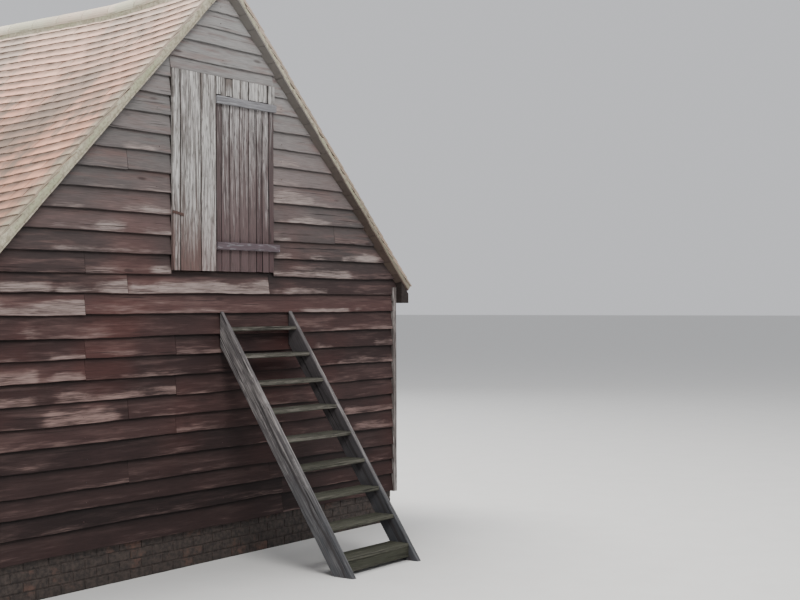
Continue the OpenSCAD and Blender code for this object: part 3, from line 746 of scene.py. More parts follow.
# One feather-edged board: spot turns along, out and up into a point, reach gives its ends at a height
def weatherboard(piece, spot, reach, foot, top, dice, places, step=0.05, base=0.22):
    s = boardSet
    seed, tone, shift = dice.uniform(0, 900), dice.random(), dice.uniform(0, 50)
    low, high = reach(foot)
    places = [p for p in places if low - 0.02 < (p[0] + p[1]) / 2 < high + 0.02]
    stations = max(3, int((high - low) / step) + 1)
    tall = top - foot
    line = tall - s["lap"]
    rises = (0.0, 0.0, 0.004, 0.018, line * 0.33, line * 0.6, line * 0.8, line * 0.93, line, tall, tall)
    # painted shade by rise: dark on the hidden back and from mid face up under the board above
    shade = (-0.9, -0.3, 0.02, 0.04, 0.02, -0.06, -0.22, -0.42, -0.8, -0.9, -0.9)
    backEdge = boardDeep - s["edge"]
    rings = np.zeros((stations, len(rises), 3))
    grain, worn = np.zeros_like(rings), np.zeros((stations, len(rises)))
    for j, rise in enumerate(rises):
        start, end = reach(foot + rise)
        share = rise / tall
        for i in range(stations):
            along = start + (end - start) * i / (stations - 1)
            wear = wearAt(places, along, rise, seed) if 1 < j < 8 else 0.0
            sag = s["sway"] * ripple(along * 0.9, seed, 1) + s["nick"] * ripple(along * 2.9, seed, 2)
            sag += (s["fuzz"] + s["fuzzWorn"] * wear) * ripple(along * 13, seed, 3)
            bow = s["bow"] * ripple(along * 0.7, seed, 4) * (1 - share)
            front = boardDeep - (boardDeep - s["thin"]) * share + bow - s["ease"]
            front += s["rough"] * ripple(along * 3, rise * 30, seed) * (1 - share)
            back = backEdge * (1 - share)
            out = {0: back, 1: front - s["ease"], len(rises) - 1: 0.0}.get(j, front)
            rings[i, j] = spot(along, out, foot + rise + sag * (1 - share) ** 1.5)
            grain[i, j] = (along + shift, rise + shift * 0.37, tone)
            edge = base * (0.7 + 1.0 * ripple(along * 1.1, seed, 6)) * max(0.0, 1 - rise / 0.09)
            worn[i, j] = max(edge, 0.8 * wear) + shade[j] * (1 - 0.45 * wear)
    piece.loft(rings, grain, worn)


def splitRow(start, end, joints):
    gap, least = boardSet["butt"], boardSet["least"]
    ends = [start] + sorted(j for j in joints if start + least < j < end - least) + [end]
    return [(a + (gap if a != start else 0), b - (gap if b != end else 0)) for a, b in zip(ends, ends[1:])]


def slopeLimit(up):
    return max(0.02, (gableTop - up) / math.tan(pitch))


def underEaves(foot):
    return foot < soffitTop - 0.01


def gableWidth(foot, up):
    return min(halfWide if underEaves(foot) else eavesOut, slopeLimit(up))


def gableReach(start, end, foot):
    def reach(up):
        edge = gableWidth(foot, up)
        return max(start, -edge), min(end, edge)
    return reach


def frontSpot(along, out, up):
    return (along, frameFront - out, up)


def backSpot(along, out, up):
    return (-along, frameBack + out, up)


def rowsOf(top):
    feet = [wallFoot] + [f for f in boardSet["feet"] if f < top - 0.03]
    return [(f, min(top, nextFoot + boardSet["lap"])) for f, nextFoot in zip(feet, feet[1:] + [top])]


def gableBoards(name, spot, withDoor, seed, replaced):
    dice, piece = random.Random(seed), Piece(name)

    def lay(start, end, limitFoot, foot, top, places):
        weatherboard(piece, spot, gableReach(start, end, limitFoot), foot, top, dice, places)

    for foot, top in rowsOf(gableTop - boardSet["underTop"]):
        joints = wallJoints.get(foot, ()) if withDoor else ()
        if not joints and dice.random() < 0.6:
            joints = (dice.choice(boardSet["studs"]),)
        places = list(wornPlaces.get(foot, ())) if withDoor else []
        spans = [(-farOff, farOff)]
        if withDoor and foot < doorHead and top > doorFoot:
            spans = [(-farOff, doorLeft - 0.002), (doorRight + 0.002, farOff)]
        for start, end in spans:
            edge = gableWidth(foot, foot)
            for a, b in splitRow(max(start, -edge), min(end, edge), joints):
                extra = []
                if not withDoor and dice.random() < 0.35 and b - a > 0.6:
                    extra = [randomPlace(dice, a, b - 0.4, boardSet["gableWear"])]
                a, b = (-farOff if a == -edge else a), (farOff if b == edge else b)
                lay(a, b, foot, foot, top, places + extra)
        if withDoor and foot < doorHead < top:
            lay(doorLeft - 0.001, doorRight + 0.001, foot, doorHead + 0.002, top, places)
        if underEaves(foot) and soffitTop - 0.01 < top - 0.02:
            for side in (-1, 1):
                ends = sorted((side * (halfWide + trimThick + 0.001), side * eavesOut))
                lay(*ends, top, soffitTop, top + 0.01, places)
    piece.build(tarBoards, "tarred_boards", replaced)


gableBoards("frontBoards", frontSpot, True, 11,
            ("front_wall_lower", "front_wall_left", "front_wall_right", "front_wall_top"))
gableBoards("backBoards", backSpot, False, 12, ("back_wall",))


def sideBoards(name, side, seed, replaced):
    dice, piece = random.Random(seed), Piece(name)
    low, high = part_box(replaced)
    for foot, top in rowsOf(high.z):
        joints = [low.y + y + dice.choice((-0.7, 0, 0.7)) for y in (2.65, 5.4) if dice.random() < 0.75]
        for a, b in splitRow(low.y + 0.001, high.y - 0.001, joints):
            places = []
            while dice.random() < 0.5:
                places.append(randomPlace(dice, a, b, boardSet["sideWear"]))
            weatherboard(piece, lambda along, out, up: (side * (halfWide + out), along, up),
                         lambda up: (a, b), foot, top, dice, places, step=0.08)
    piece.build(tarBoards, "tarred_boards", (replaced,))


sideBoards("leftBoards", -1, 13, "left_wall")
sideBoards("rightBoards", 1, 14, "right_wall")
print("weatherboards hung")


trimSet = {
    "wide": 0.105,  # on the building's sides
    "cap": 0.150,  # height of the boards' tops in front of the eaves
    "gap": 0.002,
}


def cornerTrim():
    dice, piece = random.Random(21), Piece("cornerTrim")
    low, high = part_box("corner_boards")
    deep = frameFront + trimSet["wide"] - low.y
    capEnds = (low.y, frameFront - trimSet["gap"]), (frameBack + trimSet["gap"], high.y)
    for side in (-1, 1):
        for y, (capLow, capHigh) in zip((low.y, high.y - deep), capEnds):
            tone, shift = dice.random(), dice.uniform(0, 9)
            for start, foot, tall, thick, ease in ((y, low.z, high.z - low.z, deep, 0.005),
                                                   (capLow, high.z, trimSet["cap"], capHigh - capLow, 0.004)):
                timber(piece, (side * halfWide, start, foot), (0, 0, 1), tall, (side, 0, 0), trimThick,
                       (0, 1, 0), thick, tone, 0.45, ease, 0.08, 0.0022, grainShift=shift + foot - low.z)
    piece.build(woods["cornerWood"], "corner_wood", ("corner_boards",))


cornerTrim()

# Boards of the door from left to right: start, end, and wear at the head, middle and foot
doorSet = {
    "leafThick": 0.028,
    "hungThick": 0.03,
    "ledge": 0.062,
    "leafBands": (0, 0.03, 0.13, 0.60, 0.82, 1),  # heights at which wear changes from foot to head
    "hungBands": (0, 0.14, 0.42, 0.62, 0.82, 1),
    "fixed": ((-0.589, -0.513, 0.66, 0.72, 0.60), (-0.507, -0.282, 0.66, 0.66, 0.24),
              (-0.275, -0.106, 0.66, 0.74, 0.80)),
    "hung": ((-0.022, 0.072, 0.98, 0.50, 0.18), (0.077, 0.191, 0.86, 0.52, 0.20),
             (0.196, 0.300, 0.66, 0.46, 0.12), (0.305, 0.397, 0.98, 0.52, 0.18),
             (0.402, 0.469, 0.72, 0.48, 0.14), (0.474, 0.549, 0.85, 0.62, 0.18),
             (-0.084, -0.028, 0.50, 0.12, 0.0), (0.556, 0.619, 0.45, 0.10, -0.05)),  # stile and jamb last
    "header": ((-0.103, -0.050, 1.20), (-0.046, 0.012, 0.60), (0.092, 0.186, 1.20), (0.192, 0.286, 0.85),
               (0.290, 0.412, 0.95), (0.417, 0.525, 1.25), (0.530, 0.619, 0.95)),  # one wear
    "short": (0.016, 0.088, 0.005),  # the header's board with a rotten top, and what it lacks
    "rails": {"upper_rail": 0.74, "lower_rail": 0.32},  # wear
    "catch": ((-0.598, -0.478), 2.785, 0.022, 0.008),  # ends, height, width, thickness
}


# An upright board with a ragged foot; its edges and back are darkened with painted shade, but for the left edge
# of a bare board, which is worn
def uprightBoard(piece, x0, x1, front, thick, low, high, dice, worn, bands, ragged=0.008, bare=False):
    cut = dice.uniform(-1, 1) * ragged
    jag = dice.uniform(0, 99)
    step = 0.06
    stations = max(2, int(round((high - low) / step)) + 1)
    head, middle, foot = worn
    run = np.interp(np.linspace(0, 1, stations), bands,
                    (foot, foot, middle * 0.6 + foot * 0.4, middle, middle * 0.35 + head * 0.65, head))
    # painted shade on the sides and back; the face's wear is set below
    wear = np.full((stations, 12), -0.62)
    wear[:, 1:3] = run[:, None]
    wear[:, 0] = wear[:, 3] = run - 0.12
    if bare:
        wear[:, 10:] = run[:, None] - 0.15
    timber(piece, (x0, front, low), (0, 0, 1), high - low, (1, 0, 0), x1 - x0, (0, 1, 0), thick,
           dice.random(), wear, 0.004, step, 0.003, grainShift=dice.uniform(0, 9),
           startCut=lambda a, d: max(0.0, cut + ragged * ripple(a * 40, jag)),
           endCut=lambda a, d: high - low - abs(ragged * 0.4 * ripple(a * 40, jag + 5)))


def loadingDoor():
    d, dice = doorSet, random.Random(31)
    leafFront, leafBack = doorLow.y, doorLow.y + d["leafThick"]
    fixed = Piece("fixedLeafBoards")
    for x0, x1, *worn in d["fixed"]:
        uprightBoard(fixed, x0, x1, leafFront, leafBack - leafFront, doorFoot, doorHead, dice, worn,
                     d["leafBands"], bare=x0 < doorLeft + 0.01)
    # ledges behind the leaf; their wear below nought darkens them with painted shade
    for z in (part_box("lower_rail")[0].z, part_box("upper_rail")[0].z):
        crossBar(fixed, (doorLeft, leafBack, z), (doorHigh.x, frameFront, z + d["ledge"]),
                 dice.random(), -0.4, 0.002)
    fixed.build(woods["leafWood"], "door_boards", ("fixed_leaf",))
    header = Piece("headerBoards")
    low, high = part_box("door_header")
    for x0, x1, worn in d["header"]:
        front = leafFront + dice.uniform(0, 0.005)
        uprightBoard(header, x0, x1, front, leafBack - front, low.z, high.z, dice, (worn, worn, worn - 0.1),
                     d["leafBands"], 0.012)
    x0, x1, lost = d["short"]
    uprightBoard(header, x0, x1, leafFront + 0.004, 0.02, low.z, high.z - lost, dice, (-0.16, 0.6, 0.9),
                 d["leafBands"], 0.012)
    # the header's ledge, darkened with painted shade by its wear below nought
    crossBar(header, (low.x, leafBack, low.z), (high.x, frameFront, low.z + d["ledge"]), 0.4, -0.4, 0.002)
    header.build(woods["leafWood"], "door_boards", ("door_header",))
    hung = Piece("hungLeafBoards")
    low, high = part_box("hung_leaf")
    for x0, x1, *worn in d["hung"]:
        front = low.y + dice.uniform(0.0, 0.003)
        uprightBoard(hung, x0, x1, front, d["hungThick"], low.z, high.z, dice, worn, d["hungBands"])
    hung.build(woods["doorWood"], "door_boards", ("hung_leaf",))
    for name, worn in d["rails"].items():
        rail = Piece(name + "_bar")
        crossBar(rail, *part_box(name), dice.random(), worn, 0.004, 0.06, 0.0025, grainShift=dice.uniform(0, 9))
        rail.build(woods["railWood"], "door_rails", (name,))
    (x0, x1), z, tall, thick = d["catch"]
    catch = Piece("ironCatch")
    timber(catch, (x0, leafFront - thick, z), (0.985, 0, -0.17), x1 - x0, (0, 0, 1), tall, (0, 1, 0), thick,
           0.5, 0.2, 0.002, 0.02, 0.001)
    catch.build(rustIron, "door_rails")


loadingDoor()
print("loading door hung")


def loftSteps():
    s, dice, slope = stepSet, random.Random(41), math.radians(stepSet["angle"])
    down = (0, -math.cos(slope), -math.sin(slope))
    under = (0, math.sin(slope), -math.cos(slope))
    for name, side in s["sideWear"].items():
        low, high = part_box(name)
        piece = Piece(name + "_plank")
        # a side below nought is painted shade
        wear = [[0.56] * 4 + [side] * 2 + [0.0] * 4 + [side] * 2]  # front edge, side, back edge, side
        timber(piece, (low.x, high.y, high.z), down, s["long"], (1, 0, 0), s["thick"], under, s["string"],
               dice.random(), wear, 0.005, 0.05, 0.0016, grainShift=dice.uniform(0, 9),
               startCut=lambda a, d: d * math.tan(slope),
               endCut=lambda a, d: (high.z - d * math.cos(slope)) / math.sin(slope))
        piece.build(woods["stepWood"], "step_wood", (name,))
    treads = Piece("treadBoards")
    low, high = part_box("treads")
    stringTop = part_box("left_string")[1].z
    # the back and underside, below nought, are darkened with painted shade
    wear = [[0.72] * 4 + [0.45] * 2 + [-0.2] * 6]  # front edge, top, back and underside
    for k in range(s["count"]):
        z = high.z - k * s["rise"]
        front = boardFront - (stringTop - z) / math.tan(slope)
        back = min(front + s["string"] / math.sin(slope), boardFront)
        crossBar(treads, (low.x, front, z - s["tread"]), (high.x, back, z), dice.random(), wear,
                 0.006, 0.04, 0.0022, grainShift=dice.uniform(0, 9))
    treads.build(woods["treadWood"], "tread_wood", ("treads",))
    foot = Piece("footBoard")
    crossBar(foot, *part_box("foot_board"), dice.random(), 0.4, 0.004, 0.04, 0.002)
    foot.build(woods["treadWood"], "tread_wood", ("foot_board",))


loftSteps()

floorSet = {"wide": (0.15, 0.21), "least": 0.08, "gap": 0.003}  # boards of the loft floor


def loftBoards():
    dice, piece = random.Random(51), Piece("loftBoards")
    low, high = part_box("loft_floor")
    y = low.y
    while y < high.y - 0.02:
        wide = min(dice.uniform(*floorSet["wide"]), high.y - y)
        if high.y - y - wide < floorSet["least"]:
            wide = high.y - y
        timber(piece, (low.x, y, low.z), (1, 0, 0), high.x - low.x, (0, 1, 0), wide - floorSet["gap"],
               (0, 0, 1), high.z - low.z, dice.random(), 0.35, 0.002, 0.5, 0.0005,
               grainShift=dice.uniform(0, 9))
        y += wide
    piece.build(woods["floorWood"], "floor_boards", ("loft_floor",))


loftBoards()
print("steps and loft floor laid")


tileSet = {
    "gauge": 0.107,
    "courses": 32,
    "width": 0.1654,
    "long": 0.275,
    "thick": 0.0105,
    "batten": 0.022,  # height of a tile's head above the rafters
    "lift": 0.0275,  # of its tail above its head
    "gap": 0.0018,
    "camber": 0.0022,
    "crown": 0.004,
    # dirt and painted shadow begin this far under the lap
    "lapDirtAndShadow": 0.010,  # how far dirt reaches under the lap
    "tail": 0.014,
    "dirtAndShadow": (0.0, 0.05, 0.50, 0.62),  # pattern from head to tail
    "across": (-0.5, -0.18, 0.18, 0.5),
    "jitter": {"side": 0.0015, "down": 0.0035, "roll": 0.022, "nod": (-0.012, 0.006), "skew": 0.012},
    "wave": (0.012, 0.045),  # of the slope's height and of the courses' lines
    "chip": (0.0025, 0.006),
}


# One plain tile in roof terms: down the slope, along the ridge, out of the slope, with its tail at nought
def tileShape():
    t = tileSet
    work = bmesh.new()
    tail = work.verts.layers.float.new("tail")
    downs, sides = (-t["long"], -t["gauge"] - t["lapDirtAndShadow"], -t["tail"], 0.0), t["across"]
    layers = []
    for under in (0, 1):
        for d, dark in zip(downs, t["dirtAndShadow"]):
            for s in sides:
                share = 1 + d / t["long"]
                rise = t["batten"] + t["lift"] * share + t["crown"] * 4 * share * (1 - share)
                rise += t["camber"] * (1 - 4 * s * s) + t["thick"] * (1 - under)
                layers.append(work.verts.new((d, s * (t["width"] - t["gap"]), rise)))
                layers[-1][tail] = 1.0 if under else dark
    row, layer = len(sides), len(downs) * len(sides)
    for i in range(len(downs) - 1):
        for j in range(row - 1):
            a = i * row + j
            quad = (a, a + row, a + row + 1, a + 1)
            work.faces.new([layers[k] for k in quad])
            work.faces.new([layers[k + layer] for k in reversed(quad)])
    rim = [*range(row)] + [row - 1 + i * row for i in range(1, len(downs))]
    rim += [layer - 1 - j for j in range(1, row)] + [i * row for i in range(len(downs) - 2, 0, -1)]
    for a, b in zip(rim, rim[1:] + rim[:1]):
        work.faces.new([layers[k] for k in (a, b, b + layer, a + layer)])
    return closeMesh(work, bpy.data.meshes.new("tileShape"))


def newTree(name, sizes):
    tree = bpy.data.node_groups.new(name, "GeometryNodeTree")
    tree.interface.new_socket("Geometry", in_out="INPUT", socket_type="NodeSocketGeometry")
    for label, kind in sizes.items():
        tree.interface.new_socket(label, in_out="INPUT", socket_type="NodeSocket" + kind)
    tree.interface.new_socket("Geometry", in_out="OUTPUT", socket_type="NodeSocketGeometry")
    graph = Graph(tree)
    source = tree.nodes.new("NodeGroupInput")
    return tree, graph, {s.name: Sock(graph, s) for s in source.outputs if s.name}


def storeValue(graph, geometry, name, value, kind="FLOAT", domain="INSTANCE"):
    return graph.node("GeometryNodeStoreNamedAttribute", {"data_type": kind, "domain": domain},
                      {"Geometry": geometry, "Name": name, "Value": value})


def readVector(graph, name):
    return graph.node("GeometryNodeInputNamedAttribute", {"data_type": "FLOAT_VECTOR"}, {"Name": name})


def closeTree(graph, geometry, finish):
    geometry = graph.node("GeometryNodeSetMaterial", {}, {"Geometry": geometry, "Material": finish})
    graph.node("NodeGroupOutput", {}, {"Geometry": geometry})


# Runs a tree over a mesh with values for its named inputs, and leaves an object with a plain mesh
def growPiece(name, mesh, tree, values):
    piece = addObject(name, mesh)
    modifier = piece.modifiers.new("grow", "NODES")
    modifier.node_group = tree
    for item in tree.interface.items_tree:
        if item.item_type == "SOCKET" and item.in_out == "INPUT" and item.name in values:
            modifier[item.identifier] = values[item.name]
    bpy.context.view_layer.update()
    graph = bpy.context.evaluated_depsgraph_get()
    grown = bpy.data.meshes.new_from_object(piece.evaluated_get(graph), preserve_all_data_layers=True,
                                            depsgraph=graph)
    piece.modifiers.clear()
    piece.data = grown
    return piece


# Lays one slope: staggered courses with a tile and a half at each verge, curled up to the verges
def tileTree():
    tree, graph, given = newTree("layTiles", {
        "Gauge": "Float", "Width": "Float", "Courses": "Int", "Across": "Int", "Eaves": "Float",
        "Verge": "Float", "Length": "Float", "Tilt Rise": "Float", "Tilt Length": "Float",
        "Tilt Power": "Float", "Pitch": "Float", "Apex": "Float", "Seed": "Int", "Clay": "Material"})
    vector, jitter = graph.vector, tileSet["jitter"]
    (waveRise, waveDown), (chipRise, chipDown) = tileSet["wave"], tileSet["chip"]

    def shake(low, high, step):
        return graph.node("FunctionNodeRandomValue", {}, {
            "Min": low, "Max": high, "Seed": given["Seed"] + step}, 1)

    def swing(most, step):
        return shake(-most, most, step)

    index = graph.node("GeometryNodeInputIndex")
    course = (index / given["Across"]).calc("FLOOR")
    number = index - course * given["Across"]
    odd = course.calc("MODULO", 2)
    firstTile = odd * number.calc("COMPARE", 0, 0.1)
    lastTile = odd * number.calc("COMPARE", given["Across"] - 2, 0.1)
    gone = odd * number.calc("COMPARE", given["Across"] - 1, 0.1)
    middle = number + 0.5 + odd * 0.5 - firstTile * 0.25 + lastTile * 0.25
    y = given["Verge"] + middle * given["Width"] + swing(jitter["side"], 1)
    down = given["Eaves"] - course * given["Gauge"] + swing(jitter["down"], 2)
    points = graph.node("GeometryNodePoints", {}, {
        "Count": given["Courses"] * given["Across"], "Position": vector(down, y, 0.0)})
    turn = vector(swing(jitter["roll"], 3), shake(*jitter["nod"], 4), swing(jitter["skew"], 5))
    size = vector(1.0, 1 + (firstTile + lastTile) * 0.5, 1.0)
    wide = storeValue(graph, points, "size", size, "FLOAT_VECTOR", "POINT")
    wide = graph.node("GeometryNodeDeleteGeometry", {"domain": "POINT"}, {0: wide, 1: gone})
    laid = graph.node("GeometryNodeInstanceOnPoints", {}, {
        "Points": wide, "Instance": given["Geometry"], "Rotation": turn, "Scale": readVector(graph, "size")})
    laid = storeValue(graph, laid, "tone", shake(0.0, 1.0, 6))
    laid = graph.node("GeometryNodeRealizeInstances", {}, {"Geometry": laid})
    place = graph.node("GeometryNodeInputPosition")
    wave, chip = [graph.node("ShaderNodeTexNoise", {}, {"Vector": place, "Scale": scale, "Detail": 1.0}) - 0.5
                  for scale in (0.8, 23.0)]
    along = place.part(1)
    inside = (along - given["Verge"]).calc("MINIMUM", given["Verge"] + given["Length"] - along)
    share = (1 - inside / given["Tilt Length"]).calc("MAXIMUM", 0.0)
    rise = given["Tilt Rise"] * share ** given["Tilt Power"] + wave * waveRise
    head = (place.part(0) + wave * waveDown + chip * chipDown).calc("MAXIMUM", 0.004)
    laid = graph.node("GeometryNodeSetPosition", {}, {
        "Geometry": laid, "Position": vector(head, along, place.part(2) + rise + chip * chipRise)})
    laid = graph.node("GeometryNodeTransform", {}, {
        "Geometry": laid, "Translation": vector(0.0, 0.0, given["Apex"]),
        "Rotation": vector(0.0, given["Pitch"], 0.0)})
    closeTree(graph, laid, given["Clay"])
    return tree


def turnHalf(mesh):
    middle = (vergeFront + vergeBack) / 2
    mesh.transform(Matrix.Translation((0, middle, 0)) @ Matrix.Rotation(math.pi, 4, "Z")
                   @ Matrix.Translation((0, -middle, 0)))


battenSet = {"wide": 0.036, "thick": 0.0205, "short": 0.03, "below": 0.012}


def layRoof():
    t, tree, length = tileSet, tileTree(), vergeBack - vergeFront - 0.008
    across = round(length / t["width"])
    eaves = (halfWide + roofSet["eavesOver"]) / math.cos(pitch)
    for name, seed, node in (("tilesRight", 61, "roof_right"), ("tilesLeft", 62, "roof_left")):
        piece = growPiece(name, tileShape(), tree, {
            "Gauge": t["gauge"], "Width": length / across, "Courses": t["courses"], "Across": across,
            "Eaves": eaves, "Verge": vergeFront + 0.004, "Length": length, "Tilt Rise": roofSet["vergeRise"],
            "Tilt Length": roofSet["tiltLength"], "Tilt Power": roofSet["tiltPower"], "Pitch": pitch,
            "Apex": rafterApex, "Seed": seed, "Clay": tileClay})
        if node == "roof_left":
            turnHalf(piece.data)
        finishPiece(piece, (node,))
    b, battens = battenSet, Piece("battens")
    run = vergeBack - vergeFront - 2 * b["short"]
    stations = [vergeFront + b["short"] + run * i / 48 for i in range(49)]
    corners = ((0, 0), (b["wide"], 0), (b["wide"], b["thick"]), (0, b["thick"]))
    for side in (-1, 1):
        for course in range(t["courses"]):
            down = eaves - course * t["gauge"] - t["long"] + b["below"]
            if down < 0.02:
                continue
            rings = np.array([[onSlope(side, down + a, y, tiltAt(y) + out) for a, out in corners]
                              for y in stations])
            grain = np.array([[(y + course, a, 0.4) for a in (0, 0.036, 0.05, 0.09)] for y in stations])
            battens.loft(rings, grain, 0.2)
    battens.build(woods["floorWood"], "frame_oak")


layRoof()
print("tiles laid")


vergeSet = {
    "bed": 0.026,
    "cloak": 0.013,
    "cloakLong": 0.165,
    "jag": 0.0035,
    "short": 0.012,  # less than the tiles at the eaves
    "stations": 150,
    "crest": {-1: 0.042, 1: 0.024},  # height of the mortar on the left and the right slope
    "lime": {-1: 1.0, 1: 0.5},  # on the strips' ends
}


# The verge: clay strips as an undercloak, and the pale mortar on them that laps up the tiles' ends
def vergeMortar(name, outer, inward, replaced):
    v, dice, piece, cloak = vergeSet, random.Random(71), Piece(name), Piece(name + "Cloak")
    frameEdge = frameFront if inward > 0 else frameBack
    top, high = tiltAt(outer), tiltAt(frameEdge)
    length = (halfWide + roofSet["eavesOver"]) / math.cos(pitch) - v["short"]
    split = v["cloak"] - v["bed"]
    for side in (-1, 1):
        crest, lime = v["crest"][side], v["lime"][side]
        section = ((0.005, top + split - 0.001, 0.3), (0.002, top + 0.004, 1), (0.003, top + crest * 0.6, 1),
                   (0.008, top + crest, 1), (0.014, top + 0.001, 0))  # inward, out, and roughness
        section = [(outer + a * inward, out, rough) for a, out, rough in section]
        section += [(frameEdge, high - 0.001, 0), (frameEdge, high + split - 0.001, 0)]
        shift = dice.uniform(0, 50)
        rings = np.zeros((v["stations"], len(section), 3))
        for i in range(v["stations"]):
            for j, (y, out, rough) in enumerate(section):
                start = -out * math.tan(pitch)
                down = start + (length - start) * i / (v["stations"] - 1)
                lump = rough * 0.020 * ripple(down * 9 + shift, j * 0.4, side) if 1 < j < 4 else 0
                face = rough * 0.004 * ripple(down * 16 + shift, j * 1.7, side * 3)
                rings[i, j] = onSlope(side, down, y - face * inward, out + lump)
        piece.loft(rings, rings * 0, 0.0)
        down = (v["bed"] + 0.002) * math.tan(pitch)
        while down < length - 0.03:
            end = min(down + v["cloakLong"] * dice.uniform(0.9, 1.1), length - 0.004)
            edge = outer + dice.uniform(-v["jag"], v["jag"]) * inward
            corners = ((edge, top - v["bed"]), (edge, top + split), (frameEdge, high + split),
                       (frameEdge, high - v["bed"]))
            rings = [[onSlope(side, a, y, out) for y, out in corners]
                     for a in (down + 0.0015, (down + end) / 2, end - 0.0015)]
            cloak.loft(np.array(rings), np.full((3, 4, 3), dice.random()), [[lime, lime, 0.0, 0.0]])
            down = end
    cloak.build(cloakClay, "verge_mortar", (replaced,))
    piece.build(limeMortar, "verge_mortar", (replaced,))


vergeMortar("vergeBedFront", vergeFront, 1, "front_verge")
vergeMortar("vergeBedBack", vergeBack, -1, "back_verge")


# Copies of one shape on points that carry their own turn, each with a tone of its own
def copyTree():
    tree, graph, given = newTree("setCopies", {
        "Shape": "Object", "Shake": "Float", "Seed": "Int", "Finish": "Material"})
    points = graph.node("GeometryNodeMeshToPoints", {}, {"Mesh": given["Geometry"]})
    shape = graph.node("GeometryNodeObjectInfo", {}, {"Object": given["Shape"]}, "Geometry")
    spread = graph.vector(given["Shake"], given["Shake"], given["Shake"])
    back = graph.node("ShaderNodeVectorMath", {"operation": "SCALE"}, {0: spread, "Scale": -1.0})
    loose = graph.node("FunctionNodeRandomValue", {"data_type": "FLOAT_VECTOR"}, {
        "Min": back, "Max": spread, "Seed": given["Seed"]})
    turn = graph.node("ShaderNodeVectorMath", {"operation": "ADD"}, {0: readVector(graph, "turn"), 1: loose})
    laid = graph.node("GeometryNodeInstanceOnPoints", {}, {
        "Points": points, "Instance": shape, "Rotation": turn})
    tone = graph.node("FunctionNodeRandomValue", {}, {"Seed": given["Seed"] + 1}, 1)
    laid = storeValue(graph, laid, "tone", tone)
    laid = graph.node("GeometryNodeRealizeInstances", {}, {"Geometry": laid})
    closeTree(graph, laid, given["Finish"])
    return tree


setCopies = copyTree()


def closedShape(build):
    work = bmesh.new()
    build(work)
    name = build.__name__
    return bpy.data.objects.new(name, closeMesh(work, bpy.data.meshes.new(name)))


def copiesOf(name, build, places, turns, shake, seed, material, slot, replaced=()):
    mesh = bpy.data.meshes.new(name)
    mesh.from_pydata([tuple(p) for p in places], [], [])
    turn = mesh.attributes.new("turn", "FLOAT_VECTOR", "POINT")
    turn.data.foreach_set("vector", np.array(turns, float).ravel())
    piece = growPiece(name, mesh, setCopies, {
        "Shape": closedShape(build), "Shake": shake, "Seed": seed, "Finish": material})
    finishPiece(piece, replaced)


ridgeSet = {
    "radius": 0.112,
    "wall": 0.016,
    "count": 26,
    "joint": 0.006,
    "bed": 0.038,
    "steps": 16,  # around a half round
    "fillet": ((0.985, 0.012), (0.99, -0.02), (1.03, -0.062), (0.5, -0.03)),  # radii out, and height
    "filletTop": 0.04,
}


def ridgeRow():
    r, wall, around = ridgeSet["radius"], ridgeSet["wall"], ridgeSet["steps"]
    pace = (vergeBack - vergeFront) / ridgeSet["count"]
    half = pace / 2 - ridgeSet["joint"] / 2

    def halfRound(work):
        rings = []
        for y, grow in ((-half, 0), (-half * 0.96, 0), (half * 0.96, 0), (half, -0.001)):
            ring = []
            for radius, steps in ((r + grow, range(around + 1)), (r - wall, range(around, -1, -1))):
                for k in steps:
                    angle = math.pi * k / around
                    ring.append(work.verts.new((radius * math.cos(angle), y, radius * math.sin(angle))))
            rings.append(ring)
        for a, b in zip(rings, rings[1:]):
            for i in range(len(a)):
                j = (i + 1) % len(a)
                work.faces.new((a[i], a[j], b[j], b[i]))
        for ring in (rings[0], rings[-1]):
            for k in range(around):
                work.faces.new((ring[k], ring[k + 1], ring[2 * around - k], ring[2 * around + 1 - k]))

    springing = ridgeSet["bed"] - r * math.tan(pitch)
    coverApex = rafterApex + roofSet["cover"] / math.cos(pitch)

    def ridgeHeight(y):
        return coverApex + tiltAt(y) / math.cos(pitch) + springing

    places, turns = [], []
    for i in range(ridgeSet["count"]):
        a, b = vergeFront + i * pace, vergeFront + (i + 1) * pace
        places.append((0, (a + b) / 2, (ridgeHeight(a) + ridgeHeight(b)) / 2))
        turns.append((math.atan2(ridgeHeight(b) - ridgeHeight(a), pace), 0, 0))
    copiesOf("ridgeRow", halfRound, places, turns, 0.006, 81, ridgeClay, "ridge_tiles", ("ridge_tiles",))
    bed, fillet = Piece("ridgeBed"), ridgeSet["fillet"]
    outline = [(-r * a, z) for a, z in fillet] + [(0, ridgeSet["filletTop"])]
    outline += [(r * a, z) for a, z in reversed(fillet)]
    ys = np.linspace(vergeFront + 0.003, vergeBack - 0.003, 130)
    rings = np.zeros((len(ys), len(outline), 3))
    for i, y in enumerate(ys):
        for j, (x, z) in enumerate(outline):
            lump = 0.004 * ripple(y * 6, j, 5)
            rings[i, j] = (x + lump * (1 if x > 0 else -1), y, ridgeHeight(y) + z + lump * 0.5)
    bed.loft(rings, rings * 0, 0.0)
    bed.build(limeMortar, "verge_mortar")


ridgeRow()
print("verges and ridge bedded")


plinthSet = {
    "wall": 0.225,
    "long": 0.215,
    "high": 0.065,
    "deep": 0.1025,
    "joint": 0.010,
    "worn": 0.004,  # arrises
    "closer": 0.47,  # of a brick's length
    "recess": 0.006,
    "shake": 0.006,
}


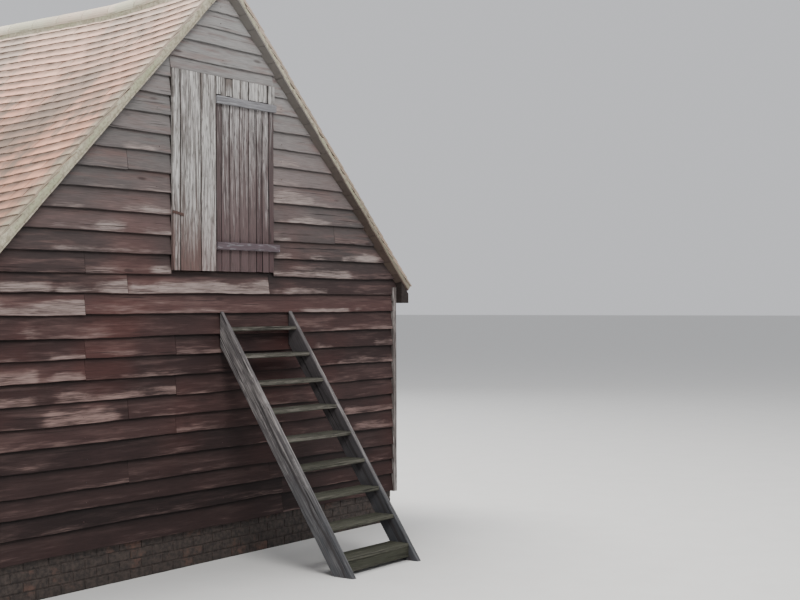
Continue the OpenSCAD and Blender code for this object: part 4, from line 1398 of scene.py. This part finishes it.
# Stretchers in two leaves, with closers at the ends of every other course
def plinthBricks():
    b, wall, whole, closers = plinthSet, plinthSet["wall"], ([], []), ([], [])
    low, high = Vector((-halfWide, frameFront, 0)), Vector((halfWide, frameBack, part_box("plinth_ends")[1].z))

    def brick(work):
        made = bmesh.ops.create_cube(work, size=1.0)
        bmesh.ops.scale(work, vec=(b["long"], b["deep"], b["high"]), verts=made["verts"])
        bmesh.ops.bevel(work, geom=work.edges[:], offset=b["worn"], segments=1, affect="EDGES")

    def halfBrick(work):
        brick(work)
        bmesh.ops.scale(work, vec=(b["closer"], 1, 1), verts=work.verts)

    def put(row, at, fixed, z, spin):
        row[0].append((fixed, at, z) if spin else (at, fixed, z))
        row[1].append((0, 0, math.pi / 2 * spin))

    courses = round(high.z / (b["high"] + b["joint"]))
    for course in range(courses):
        z = (course + 0.5) * (high.z / courses)
        odd = course % 2
        for leaf in (b["deep"] / 2, wall - b["deep"] / 2):
            for start, end, fixed, spin in (
                    (low.x, high.x, low.y + leaf, 0), (low.x, high.x, high.y - leaf, 0),
                    (low.y + wall, high.y - wall, low.x + leaf, 1),
                    (low.y + wall, high.y - wall, high.x - leaf, 1)):
                count = round((end - start) / (b["long"] + b["joint"]))
                pace = (end - start) / count
                for k in range(count - odd):
                    put(whole, start + (k + 0.5 + odd * 0.5) * pace, fixed, z, spin)
                for at in (start + pace / 4, end - pace / 4) if odd else ():
                    put(closers, at, fixed, z, spin)
    copiesOf("plinthBricks", brick, *whole, b["shake"], 91, tarBrick, "tarred_brick",
             ("plinth_ends", "plinth_sides"))
    copiesOf("plinthClosers", halfBrick, *closers, b["shake"], 92, tarBrick, "tarred_brick")
    mortar = Piece("plinthJoints")
    for x0, x1, y0, y1 in ((low.x, high.x, low.y, low.y + wall), (low.x, high.x, high.y - wall, high.y),
                           (low.x, low.x + wall, low.y + wall, high.y - wall),
                           (high.x - wall, high.x, low.y + wall, high.y - wall)):
        x0, x1, y0, y1 = x0 + b["recess"], x1 - b["recess"], y0 + b["recess"], y1 - b["recess"]
        rings = np.array([[(x, y, z) for x, y in ((x0, y0), (x1, y0), (x1, y1), (x0, y1))]
                          for z in (0.0, high.z - 0.002)])
        mortar.loft(rings, rings, 0.0)
    mortar.build(tarBrick, "tarred_brick")


plinthBricks()

nailSet = {
    "lines": (-2.26, -1.457, -0.728, 0.0, 0.728, 1.457, 2.26),
    "above": 0.045,  # a board's lower edge
    "sunk": 0.0085,
    "stray": 0.02,
    "head": (0.0045, 0.002, 0.003),  # radii and depth
}


def boardNails():
    n, dice, (outer, inner, deep) = nailSet, random.Random(95), nailSet["head"]

    def nailHead(work):
        bmesh.ops.create_cone(work, cap_ends=True, segments=6, radius1=outer, radius2=inner, depth=deep)

    places, turns = [], []
    for foot, top in rowsOf(gableTop - boardSet["underTop"]):
        edge = min(slopeLimit(foot + 0.06), halfWide) - 0.05
        for x in n["lines"]:
            inDoor = doorLeft - 0.02 < x < doorRight + 0.02 and foot < doorHead and top > doorFoot
            if abs(x) > edge:
                continue
            x += dice.uniform(-n["stray"], n["stray"])
            if not inDoor:
                places.append((x, boardFront + n["sunk"], foot + n["above"]))
                turns.append((math.pi / 2, 0, 0))
            places.append((x, boardBack - n["sunk"], foot + n["above"]))
            turns.append((-math.pi / 2, 0, 0))
    copiesOf("boardNails", nailHead, places, turns, 0.1, 96, rustIron, "tarred_boards")


boardNails()
print("plinth and nails set")
